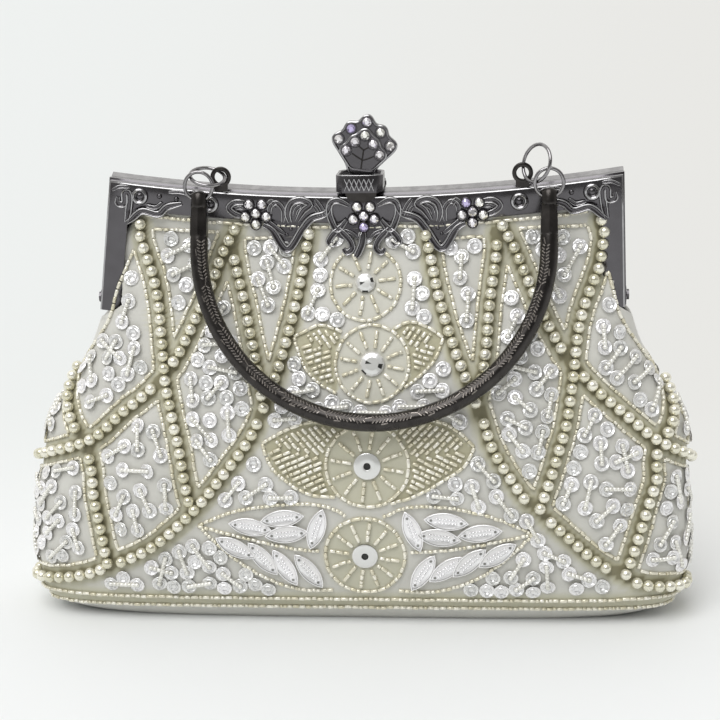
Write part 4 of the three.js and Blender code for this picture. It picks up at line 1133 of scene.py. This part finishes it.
# Painted shadow: a flat near black disc on the bar's face, clipped at the bar's top.
place = Matrix.Translation(Vector(paintedShadowShape["centre"]) * mm) @ Matrix.Rotation(math.pi / 2, 4, "X")
paintedShadow = bmesh.ops.create_cone(bm, cap_ends=True, segments=24, radius1=mm, radius2=mm, depth=paintedShadowShape["thick"] * mm,
                               matrix=place @ Matrix.Diagonal((*paintedShadowShape["half"], 1, 1)))
for vert in paintedShadow["verts"]:
    vert.co.z = min(vert.co.z, paintedShadowShape["top"] * mm)
paintFaces(paintedShadow["verts"], 2)
frontMesh = finishMesh(bm, "front_frame_cast", 48)
addPiece("front_frame_cast", frontMesh, [gunmetal, rubbedAndHighlight, blackPlateAndShade], "bag", "gunmetal", "front_frame")
print("front frame", len(frontMesh.polygons))

# The back half stands a little higher and carries the two knuckles of the clasp.
backShape = {"lift": 1.2, "ear": 101.7, "knuckle": (5.9, 10.5, 169.9), "knuckleRadius": 1.9, "knuckleWidth": 3.2,
             "arm": (5.9, 9.0, 166.4), "armSize": (3.2, 3.5, 5.2)}
bm = bmesh.new()
channel(bm, 1, backShape["lift"])
for side in (-1, 1):
    hingeEar(bm, side * backShape["ear"])
    plainPin(bm, Vector(backShape["knuckle"]) * Vector((side, 1, 1)), backShape["knuckleRadius"],
             backShape["knuckleWidth"], 20)
    plainBox(bm, Vector(backShape["arm"]) * Vector((side, 1, 1)), backShape["armSize"])
addPiece("back_frame_cast", finishMesh(bm, "back_frame_cast"), [gunmetal, rubbedAndHighlight], "bag", "gunmetal", "back_frame")
print("back frame")

# Handle: domed eyes, hexagonal shanks and a round bar in one bend, with an engraved hatch.
handleShape = {"middle": (4, -13.2, 168), "halfSpan": 66.6, "arm": 19, "lean": math.radians(16.3), "radius": 3.4,
               "hole": 1.95, "eyeRadius": 3.2, "cut": 1.9, "bends": 96, "sides": 24}
lean = handleShape["lean"]
downward = np.array([0, -math.sin(lean), -math.cos(lean)])
outward = np.array([0, -math.cos(lean), math.sin(lean)])


def handlePoint(x, along):
    return np.array(handleShape["middle"]) + np.array([x, 0, 0]) + downward * along


half, arm = handleShape["halfSpan"], handleShape["arm"]
legStops = [(-2.9, 0.9), (-2.75, 1.7), (-2.3, 2.5), (-1.95, 2.8), (-1.0, 3.2), (1.0, 3.2), (1.95, 3.2), (3.2, 3.2),
            (3.5, 3.05), (3.7, 3.45), (4.1, 3.55), (6.3, 3.58), (7.3, 3.6), (13.6, 3.7), (14.3, 3.65), (14.7, 3.3),
            (15.6, 3.4), (19, 3.4)]
hexFrom, hexTo = 3.6, 14.5
# The front ridge is lower beside the eye, where the ring passes when the handle is up.
lowTo, lowRidge = 6.5, 3.05
stations = [(handlePoint(-half, along), size, along, downward) for along, size in legStops]
for angle in np.linspace(0, math.pi, handleShape["bends"] + 1)[1:-1]:
    stations.append((handlePoint(-half * math.cos(angle), arm + half * math.sin(angle)), handleShape["radius"], arm,
                     np.array([math.sin(angle), 0, 0]) + downward * math.cos(angle)))
stations += [(handlePoint(half, along), size, along, -downward) for along, size in legStops[::-1]]
around = np.linspace(0, 2 * math.pi, handleShape["sides"], endpoint=False)
sixth = math.pi / 6
hexagon = math.cos(sixth) / np.cos((around + sixth) % (2 * sixth) - sixth)
sections = []
for point, size, along, way in stations:
    side = np.cross(way, outward)
    low = (np.sin(around) > 0.4) & (hexFrom < along < lowTo)
    reach = np.where(low, min(size, lowRidge), size) * (hexagon if hexFrom < along < hexTo else 1)
    sections.append([point + r * (side * math.cos(a) + outward * math.sin(a)) for a, r in zip(around, reach)])
bm = bmesh.new()
sweep(bm, sections)
for side in (-1, 1):
    eye = handlePoint(side * half, 0)
    gone = []
    for face in bm.faces:
        spotAt = np.array(face.calc_center_median()) / mm - eye
        along, fore = spotAt @ downward, spotAt @ outward
        if max(abs(along), abs(fore)) < handleShape["cut"] and abs(spotAt[0]) < 4:
            gone.append(face)
    loops = {edge for face in gone for edge in face.edges}
    bmesh.ops.delete(bm, geom=gone, context="FACES")
    rims = [edge for edge in loops if edge.is_valid and edge.is_boundary]
    for vert in {v for edge in rims for v in edge.verts}:
        spotAt = np.array(vert.co) / mm - eye
        along, fore = spotAt @ downward, spotAt @ outward
        scale = handleShape["hole"] / max(math.hypot(along, fore), 0.1)
        moved = eye + downward * along * scale + outward * fore * scale
        reach = math.sqrt(max(handleShape["eyeRadius"] ** 2 - (fore * scale) ** 2, 0.1))
        vert.co = Vector((eye[0] + math.copysign(reach, spotAt[0]), moved[1], moved[2])) * mm
    bmesh.ops.bridge_loops(bm, edges=rims)
handleMesh = finishMesh(bm, "handle_bar", 28)
addPiece("handle_bar", handleMesh, [blackPlateAndShade], "handle", "gunmetal", "handle")
print("handle", len(handleMesh.polygons))

# Engraved hatch of the handle: groups of slanted cuts, light for bright cut plating and painted glint, with a longer
# dash between them.
cutAndGlint = platedMaterial("black nickel plating, cut bright, painted glint", 2, 2, "#57514e", "#bbb4ae", 0.25)[0]
hatch = {"length": 2.3, "width": 0.5, "thick": 0.3, "bevel": 0.12, "pitch": 1.3, "cuts": 12, "group": 16.5,
         "over": 6, "start": -2.4, "turn": 24, "roll": 4, "slant": math.radians(52), "aside": 15, "sunk": 0.04}
bm = bmesh.new()
bmesh.ops.create_cube(bm, size=1, matrix=Matrix.Diagonal((hatch["length"], hatch["width"], hatch["thick"], 1)))
longEdges = [edge for edge in bm.edges if abs(edge.verts[0].co.x - edge.verts[1].co.x) > 1]
bmesh.ops.bevel(bm, geom=longEdges, offset=hatch["bevel"], segments=1, profile=0.5, material=-1, affect="EDGES")
hatchShape = shapeOf(bm)
total = math.pi * half
groups = int(total / hatch["group"])
places, alongs, ups, scales = [], [], [], []


def cutBar(distance, slant, length, roll):
    angle = min(max(distance, 0), total) / half
    way = np.array([math.sin(angle), 0, 0]) + downward * math.cos(angle)
    centre = handlePoint(-half * math.cos(angle), arm + half * math.sin(angle)) + way * (distance - angle * half)
    across = np.cross(way, outward)
    tilt = math.radians(hatch["turn"] + roll)
    up = outward * math.cos(tilt) - across * math.sin(tilt)
    places.append(centre + up * (handleShape["radius"] - hatch["sunk"]))
    alongs.append(np.cross(up, way) * math.sin(slant) + way * math.cos(slant))
    ups.append(up)
    scales.append((length, 1, 1))


for k in range(groups):
    start = k * (total + hatch["over"]) / groups + hatch["start"]
    slant = hatch["slant"] if k % 2 else -hatch["slant"]
    for j in range(hatch["cuts"]):
        roll = chance.uniform(-hatch["roll"], hatch["roll"])
        for column in (-1, 1):
            cutBar(start + j * hatch["pitch"], column * slant, 0.74 - 0.1 * (j % 3), roll + hatch["aside"] * column)
    # A longer dash between two groups, and one on the bar's shoulder.
    cutBar(start + 16, slant * 0.25, 1.1, 8)
    cutBar(start + 4.2, 0.1, 1.1, -34)
mesh = scatter("handle_hatch", hatchShape, np.array(places), axesOf(np.array(alongs), np.array(ups), np.array(scales)))
addPiece("handle_hatch", mesh, [cutAndGlint], "handle", "gunmetal")
print("hatch", len(places))

# Jump rings of plated wire: brighter than the casting, with a crisp glint.
ringWire = platedMaterial("steel wire, drawn and dark plated", 2.381, 2, "#6b696b", "#b3b1b2", 0.16)[0]
wire = {"radius": 0.7, "sides": 12, "steps": 56}
rings = [
    {"node": "lower_ring_left", "centre": (-62.6, -13.2, 172.9), "normal": (0, 1, 0), "radius": 5.4},
    {"node": "lower_ring_right", "centre": (70.6, -13.2, 172.9), "normal": (0, 1, 0), "radius": 5.4},
    {"node": "upper_ring_left", "centre": (-59.7, -9.34, 175.9), "normal": (0.184, -0.357, 0.916), "radius": 6.6},
    {"node": "upper_ring_right", "centre": (65.98, -9.1, 179.61), "normal": (0.726, 0.632, -0.27), "radius": 7.2},
]
for ring in rings:
    bm = bmesh.new()
    section = [(ring["radius"] + wire["radius"] * math.cos(a), wire["radius"] * math.sin(a))
               for a in np.linspace(0, 2 * math.pi, wire["sides"] + 1)]
    spunProfile(bm, section, wire["steps"], mm)
    turn = Vector(ring["normal"]).to_track_quat("Z", "Y").to_matrix().to_4x4()
    bmesh.ops.transform(bm, matrix=Matrix.Translation(Vector(ring["centre"]) * mm) @ turn, verts=bm.verts)
    name = ring["node"] + "_wire"
    addPiece(name, finishMesh(bm, name, 60), [ringWire], "bag", "ring_wire", ring["node"])
print("rings")

# Clasp knob: a chamfered collar and a two layered fan with raised rims.
claspShape = {"halfWidth": 9, "halfDepth": 8.2, "bottom": 168.5, "height": 7.2, "chamfer": 2.4, "shift": -1.5,
              "foot": (-1.4, 175.1), "tilt": math.radians(-8.5), "scallop": 2.75, "rim": 1.0, "well": 1.2,
              "worn": 0.3, "baseRise": 0.3, "baseSlope": 0.09, "hinge": (0, 10.5, 169.9),
              "bore": [(1.25, -4), (1.9, -4), (1.9, 4), (1.25, 4), (1.25, -4)],
              "arm": (0, 8.5, 170.7), "armSize": (8, 1.4, 3.4),
              "seat": [(2.3, -0.4), (2.3, 0.3), (2.1, 0.5), (1.85, 0.5), (1.65, 0.35), (0, 0.3)],
              "insets": [(0.28, 0.26), (0.3, 0.06), (0.28, -0.1), (0.2, -0.34)],
              "vein": 0.28, "veinDepth": -2.18, "cut": 0.24, "cutLevels": (169.6, 174.2),
              "cutFields": [(-5.6, -1.9), (-1.9, 1.9), (1.9, 5.6)]}
fanLayers = {
    "outer": {"outline": [(-5.1, -1), (5.1, -1), (5.1, 2.4), (11.6, 10.4), (6, 17), (0, 20.4), (-6, 17), (-11.6, 10.4),
                          (-5.1, 2.4)], "stones": [(0, 20.2), (-5.7, 16.9), (5.7, 16.9), (-9.95, 12.3), (9.95, 12.3)],
              "front": -1.3, "rear": 1.3, "heart": (0, 11), "grow": 0.35},
    "inner": {"outline": [(-4.3, 1.6), (4.3, 1.6), (8.4, 6.8), (3.6, 12.4), (0, 15.2), (-3.6, 12.4), (-8.4, 6.8)],
              "stones": [(0, 15.1), (-3.55, 12.2), (3.55, 12.2), (-6.5, 8.4), (6.5, 8.4)],
              "front": -2.2, "rear": 0.0, "heart": (0, 8), "grow": 0.2},
}


def fanPlace(x, z):
    cos, sin = math.cos(claspShape["tilt"]), math.sin(claspShape["tilt"])
    return claspShape["foot"][0] + x * cos - z * sin, claspShape["foot"][1] + x * sin + z * cos


def fanOutline(layer, count=120):
    outline, heart = np.array(layer["outline"], float), np.array(layer["heart"], float)
    reaches = []
    for angle in np.linspace(0, 2 * math.pi, count, endpoint=False):
        way = np.array([math.sin(angle), math.cos(angle)])
        reach = 0.0
        for a, b in zip(outline, np.roll(outline, -1, axis=0)):
            edge = b - a
            span = way[0] * edge[1] - way[1] * edge[0]
            if abs(span) > 1e-9:
                t = ((a[0] - heart[0]) * edge[1] - (a[1] - heart[1]) * edge[0]) / span
                u = ((a[0] - heart[0]) * way[1] - (a[1] - heart[1]) * way[0]) / span
                if t > 0 and 0 <= u <= 1:
                    reach = max(reach, t)
        for stone in layer["stones"]:
            offset = np.array(stone) - heart
            middle = offset @ way
            inner = claspShape["scallop"] ** 2 - (offset @ offset - middle ** 2)
            if inner > 0:
                reach = max(reach, middle + math.sqrt(inner))
        reaches.append(reach)
    soft = np.array(reaches)
    for _ in range(10):
        soft = np.maximum(soft, (np.roll(soft, 1) + 2 * soft + np.roll(soft, -1)) / 4 * 0.3 + soft * 0.7)
        soft = (np.roll(soft, 1) + 2 * soft + np.roll(soft, -1)) / 4
    angles = np.linspace(0, 2 * math.pi, count, endpoint=False)
    return heart + np.stack([np.sin(angles), np.cos(angles)], axis=-1) * (soft + layer["grow"])[:, None]


bm = bmesh.new()
for layer in fanLayers.values():
    corners = [fanPlace(x, z) for x, z in fanOutline(layer)]
    face = bm.faces.new([bm.verts.new((x * mm, layer["rear"] * mm, z * mm)) for x, z in corners])
    top = raisedFace(bm, face, (0, (layer["front"] - layer["rear"]) * mm, 0))
    for thickness, lift in claspShape["insets"]:
        ring = bmesh.ops.inset_region(bm, faces=[top], thickness=thickness * mm, depth=lift * mm, use_even_offset=True)
        # Raised inset rings are painted lighter: painted highlight and rubbed plating.
        for face in ring["faces"]:
            face.material_index = 1 if lift > 0 else 0
    for stone in layer["stones"]:
        x, z = fanPlace(*stone)
        turnedShape(bm, claspShape["seat"], (x, layer["front"], z), 16)
# The fan's veins are raised tubes painted near black: painted shade for engraved grooves.
veins = [[(0, 1.8), (0, 5.4), (0.1, 9.8)], [(0, 5.6), (-2.2, 6.6), (-4.2, 7.6)], [(0, 5.4), (2.2, 6.4), (4.2, 7.6)],
         [(0.1, 9.4), (-1.1, 10.2), (-2, 10.8)], [(0.1, 9.4), (1.1, 10.2), (2, 10.8)]]
before = set(bm.verts)
for vein in veins:
    places = [fanPlace(x, z) for x, z in spline(vein, 6)]
    path = evenly(np.array([(x, claspShape["veinDepth"], z) for x, z in places]), 0.6)
    tube(bm, path, claspShape["vein"], np.cross(headings(path), [0, 1, 0]))
paintFaces([vert for vert in bm.verts if vert not in before], 2)
w, d, c = claspShape["halfWidth"], claspShape["halfDepth"], claspShape["chamfer"]
lidLevel = (claspShape["bottom"] + claspShape["height"]) * mm
plan = [(c - w, -d), (w - c, -d), (w, c - d), (w, d - c), (w - c, d), (c - w, d), (-w, d - c), (-w, c - d)]
plan = [(x + claspShape["shift"], y) for x, y in plan]
base = bm.faces.new([bm.verts.new((x * mm, y * mm, claspShape["bottom"] * mm)) for x, y in plan])
lid = raisedFace(bm, base, (0, 0, claspShape["height"] * mm))
bmesh.ops.inset_region(bm, faces=[lid], thickness=claspShape["rim"] * mm, depth=0, use_even_offset=True)
bmesh.ops.inset_region(bm, faces=[lid], thickness=0.3 * mm, depth=-claspShape["well"] * mm, use_even_offset=True)
rims = [edge for edge in bm.edges if all(abs(vert.co.z - lidLevel) < 1e-6 for vert in edge.verts)
        and abs(edge.verts[0].co.y) <= d * mm + 1e-6]
worn = bmesh.ops.bevel(bm, geom=rims, offset=claspShape["worn"] * mm, segments=2, profile=0.5, material=-1,
                       affect="EDGES")
# The rounded rim of the collar is painted lighter: painted highlight and rubbed plating.
for face in worn["faces"]:
    face.material_index = 1
# The underside slopes up towards the hinge, clear of the back half of the frame.
for vert in base.verts:
    vert.co.z += (claspShape["baseRise"] + claspShape["baseSlope"] * (vert.co.y / mm + d)) * mm
turnedShape(bm, claspShape["bore"], claspShape["hinge"], 20, "X")
plainBox(bm, claspShape["arm"], claspShape["armSize"])
low, high = claspShape["cutLevels"]
for x0, x1 in claspShape["cutFields"]:
    middle = (x0 + x1) / 2
    lines = ([(x0, low), (middle, high)], [(x1, low), (middle, high)], [(x0, high), (middle, low)],
             [(x1, high), (middle, low)])
    for k, line in enumerate(lines):
        path = np.array([(x + claspShape["shift"], -d - 0.02 * k, z) for x, z in spline(line, 4)])
        # The collar's cross hatch is painted lighter: painted highlight on the engraving.
        tube(bm, path, claspShape["cut"], [np.array([1, 0, 0.4])] * len(path), range(6))
claspMesh = finishMesh(bm, "clasp_fan")
addPiece("clasp_fan", claspMesh, [gunmetal, rubbedAndHighlight, blackPlateAndShade], "clasp", "gunmetal", "clasp_knob")
print("clasp", len(claspMesh.polygons))

# Cut crystals: foil backed, mostly white with violet and blue flashes from facet to facet.
crystal = tonedMaterial("crystal, cut and foil backed", {
    "Metallic": 0.85, "Roughness": 0.06, "Coat Weight": 1.0, "Coat Roughness": 0.02}, "#f7f6f0", "#c3b6e6")
stone = {"girdle": 1.66, "girdleSides": 16, "table": 0.85, "tableSides": 8, "foot": 0.35, "height": 1.1}
bm = bmesh.new()
bmesh.ops.create_circle(bm, segments=stone["girdleSides"], radius=stone["girdle"],
                        matrix=Matrix.Translation((0, 0, stone["foot"])))
girdle = bm.edges[:]
bmesh.ops.create_circle(bm, segments=stone["tableSides"], radius=stone["table"], cap_ends=True,
                        matrix=Matrix.Translation((0, 0, stone["height"])))
bmesh.ops.bridge_loops(bm, edges=girdle + [edge for edge in bm.edges if edge not in girdle])
low = bmesh.ops.extrude_edge_only(bm, edges=girdle)["geom"]
bmesh.ops.translate(bm, vec=(0, 0, -stone["foot"]), verts=[v for v in low if isinstance(v, bmesh.types.BMVert)])
bmesh.ops.contextual_create(bm, geom=[edge for edge in low if isinstance(edge, bmesh.types.BMEdge)])
bmesh.ops.recalc_face_normals(bm, faces=bm.faces)
stoneShape = shapeOf(bm)
fanSpots = [(*fanPlace(x, z), layer["front"] - 0.35) for layer in fanLayers.values() for x, z in layer["stones"]]
flowerSpots = [(x, z, -frameShape["face"] - 1.1) for flower in relief["flowers"] for x, z in petalPlaces(flower)]
for name, spots, body, nodes in (
        ("fan_crystals", fanSpots, "clasp", [f"fan_stone_{k}" for k in range(1, 11)]),
        ("flower_crystals", flowerSpots, "bag", [f"flower_{side}_stone_{k}" for side in ("centre", "left", "right")
                                                 for k in range(1, 7)])):
    places = np.array([(x, y, z) for x, z, y in spots])
    ups = np.array([(chance.gauss(0, 0.05), -1, chance.gauss(0, 0.05)) for _ in spots])
    mesh = scatter(name, stoneShape, places, axesOf(np.tile([1.0, 0, 0], (len(spots), 1)), ups, 1),
                   [0.9 if k in (1, 16) else 0.3 * chance.random() for k in range(len(spots))])
    addPiece(name, mesh, [crystal], body, "crystal", *nodes)
print("crystals")

# Small fittings that stay as they come, in the plated finish.
for name in ("clasp_pin", "hinge_rivet_left", "hinge_rivet_right"):
    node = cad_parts[name]
    node.data.materials.clear()
    node.data.materials.append(gunmetal)

# Hubs of the wheels: two cut crystals above, two flat pressed discs below whose hole is a dark painted middle over a
# shallow dip.
# A dark facet is a painted dark reflection, named by its distance from the middle and its angle, since spun faces come
# in no fixed order.
hubs = [
    {"profile": [(4.0, 0), (4.0, 0.5), (3.4, 1.1), (2.2, 1.6), (0, 1.7)],
     "steps": 10, "sharp": 10, "hole": 0, "dark": [(1.05, 198), (2.66, 18), (3.52, 270)]},
    {"profile": [(4.85, 0), (4.85, 0.5), (4.2, 1.1), (2.6, 1.5), (0, 1.6)],
     "steps": 12, "sharp": 10, "hole": 0, "dark": [(1.26, 165), (3.28, 345), (4.37, 225)]},
    {"profile": [(5.2, 0), (5.2, 0.35), (4.5, 0.65), (3.0, 0.55), (1.9, 0.75), (1.4, 0.6), (1.2, 0.15), (0, 0.1)],
     "steps": 32, "sharp": 50, "hole": 1.35, "dark": []},
    {"profile": [(5.0, 0), (5.0, 0.35), (4.3, 0.65), (2.9, 0.5), (1.9, 0.7), (1.4, 0.6), (1.2, 0.15), (0, 0.1)],
     "steps": 32, "sharp": 50, "hole": 1.35, "dark": []},
]
for k, (hub, centre) in enumerate(zip(hubs, wheelCentres)):
    bm = bmesh.new()
    turnedShape(bm, hub["profile"], (0, 0, 0), hub["steps"])
    dark = [Vector((reach * math.cos(math.radians(a)), reach * math.sin(math.radians(a)))) for reach, a in hub["dark"]]
    for face in bm.faces:
        middle = face.calc_center_median().xz / mm
        # Painted shade and painted reflection: a dark line at the rim, dark glints on the listed facets, and a dark
        # middle for the hole.
        rim = middle.length > hub["profile"][0][0] - 0.12
        paintedGlint = any((middle - facet).length < 0.3 for facet in dark)
        face.material_index = int(rim or paintedGlint or middle.length < hub["hole"])
    point, normal = pathOn(centre[None], 0.5, 1)
    turn = Vector((0, -1, 0)).rotation_difference(Vector(normal[0])).to_matrix().to_4x4()
    bmesh.ops.transform(bm, matrix=Matrix.Translation(Vector(point[0]) * mm) @ turn, verts=bm.verts)
    hubMesh = finishMesh(bm, f"wheel_hub_{k + 1}", hub["sharp"])
    addPiece(f"wheel_hub_{k + 1}", hubMesh, [sequinFilm, sequinPaintedShade], "bag", "sequin_disc", f"wheel_disc_{k + 1}")
print("hubs")


# Stage: a pale seamless floor and a soft tent of light with a dark gap in front, so the metal reads dark.
stage = {"floor": 40.0, "lens": 80, "place": (49.0, -614.5, 263.6), "yaw": 4.87, "pitch": -14.81, "roll": 1.33}
bm = bmesh.new()
bmesh.ops.create_grid(bm, x_segments=1, y_segments=1, size=stage["floor"])
floorMesh = bpy.data.meshes.new("floor")
bm.to_mesh(floorMesh)
bm.free()
floor = bpy.data.objects.new("floor", floorMesh)
scene.collection.objects.link(floor)
# Matt paper: a pale ground that takes a soft shadow, with painted light: lighter on the left and in front of the bag,
# darker to the right and further back.
paper, tree, shader = newMaterial("paper, matt, painted light falloff", {"Roughness": 0.9, "Specular IOR Level": 0.1})
spot = addNode(tree, "ShaderNodeSeparateXYZ", {}, {
    "Vector": addNode(tree, "ShaderNodeTexCoord", {}, {}).outputs["Object"]})
depth = addNode(tree, "ShaderNodeMath", {"operation": "ADD"}, {0: spot.outputs["Y"], 1: 0.75})
aside = addNode(tree, "ShaderNodeMath", {"operation": "DIVIDE"}, {0: spot.outputs["X"], 1: depth.outputs[0]})
paintedSideLight = addNode(tree, "ShaderNodeMapRange", {"interpolation_type": "SMOOTHSTEP"}, {
    "Value": aside.outputs[0], "From Min": -0.3, "From Max": 0.2})
tint = addNode(tree, "ShaderNodeMix", {"data_type": "RGBA"}, {
    "Factor": paintedSideLight.outputs["Result"], 6: hexColour("#e0e3e3"), 7: hexColour("#dadad8")})
# Painted light: lighter still in front of the bag, towards the camera.
near = addNode(tree, "ShaderNodeMapRange", {"interpolation_type": "SMOOTHSTEP"}, {
    "Value": spot.outputs["Y"], "From Min": -0.15, "From Max": 0.3})
tone = addNode(tree, "ShaderNodeMix", {"data_type": "RGBA"}, {
    "Factor": near.outputs["Result"], 6: hexColour("#eceeef"), 7: tint.outputs[2]})
tree.links.new(tone.outputs[2], shader.inputs["Base Color"])
floorMesh.materials.append(paper)

lights = [{"name": "key window", "from": (-0.3, -0.75, 1.25), "strength": 1.95, "spread": 48}]
for light in lights:
    lamp = bpy.data.lights.new(light["name"], "SUN")
    lamp.energy = light["strength"]
    lamp.angle = math.radians(light["spread"])
    body = bpy.data.objects.new(light["name"], lamp)
    body.location = light["from"]
    body.rotation_euler = Vector(light["from"]).to_track_quat("Z", "Y").to_euler()
    scene.collection.objects.link(body)

world = bpy.data.worlds.new("white room")
world.use_nodes = True
tree = world.node_tree
way = addNode(tree, "ShaderNodeSeparateXYZ", {}, {
    "Vector": addNode(tree, "ShaderNodeTexCoord", {}, {}).outputs["Generated"]})
front = addNode(tree, "ShaderNodeMapRange", {"interpolation_type": "SMOOTHSTEP"}, {
    "Value": way.outputs["Y"], "From Min": -0.7, "From Max": 0.7, "To Min": 0.18, "To Max": 0.75})
over = addNode(tree, "ShaderNodeMapRange", {"interpolation_type": "SMOOTHSTEP"}, {
    "Value": way.outputs["Z"], "From Min": 0.3, "From Max": 0.8, "To Min": 0.0, "To Max": 0.15})
left = addNode(tree, "ShaderNodeMapRange", {"interpolation_type": "SMOOTHSTEP"}, {
    "Value": way.outputs["X"], "From Min": -0.9, "From Max": 0.4, "To Min": 0.2, "To Max": 0.0})
sides = addNode(tree, "ShaderNodeMath", {"operation": "ADD"}, {0: front.outputs[0], 1: left.outputs[0]})
whole = addNode(tree, "ShaderNodeMath", {"operation": "ADD"}, {0: sides.outputs[0], 1: over.outputs[0]})
ground = tree.nodes["Background"]
ground.inputs["Color"].default_value = hexColour("#fffefb")
tree.links.new(whole.outputs[0], ground.inputs["Strength"])
scene.world = world
scene.view_settings.view_transform = "Standard"

camera = bpy.data.cameras.new("camera")
camera.lens = stage["lens"]
camera.sensor_width = 36
camera.clip_start = 0.01
cameraBody = bpy.data.objects.new("camera", camera)
turned = (Matrix.Rotation(math.radians(stage["yaw"]), 4, "Z") @ Matrix.Rotation(math.radians(stage["pitch"]), 4, "X")
          @ Matrix.Rotation(math.radians(stage["roll"]), 4, "Y") @ Matrix.Rotation(math.pi / 2, 4, "X"))
cameraBody.matrix_world = Matrix.Translation(Vector(stage["place"]) * mm) @ turned
scene.collection.objects.link(cameraBody)
scene.camera = cameraBody
print("stage")
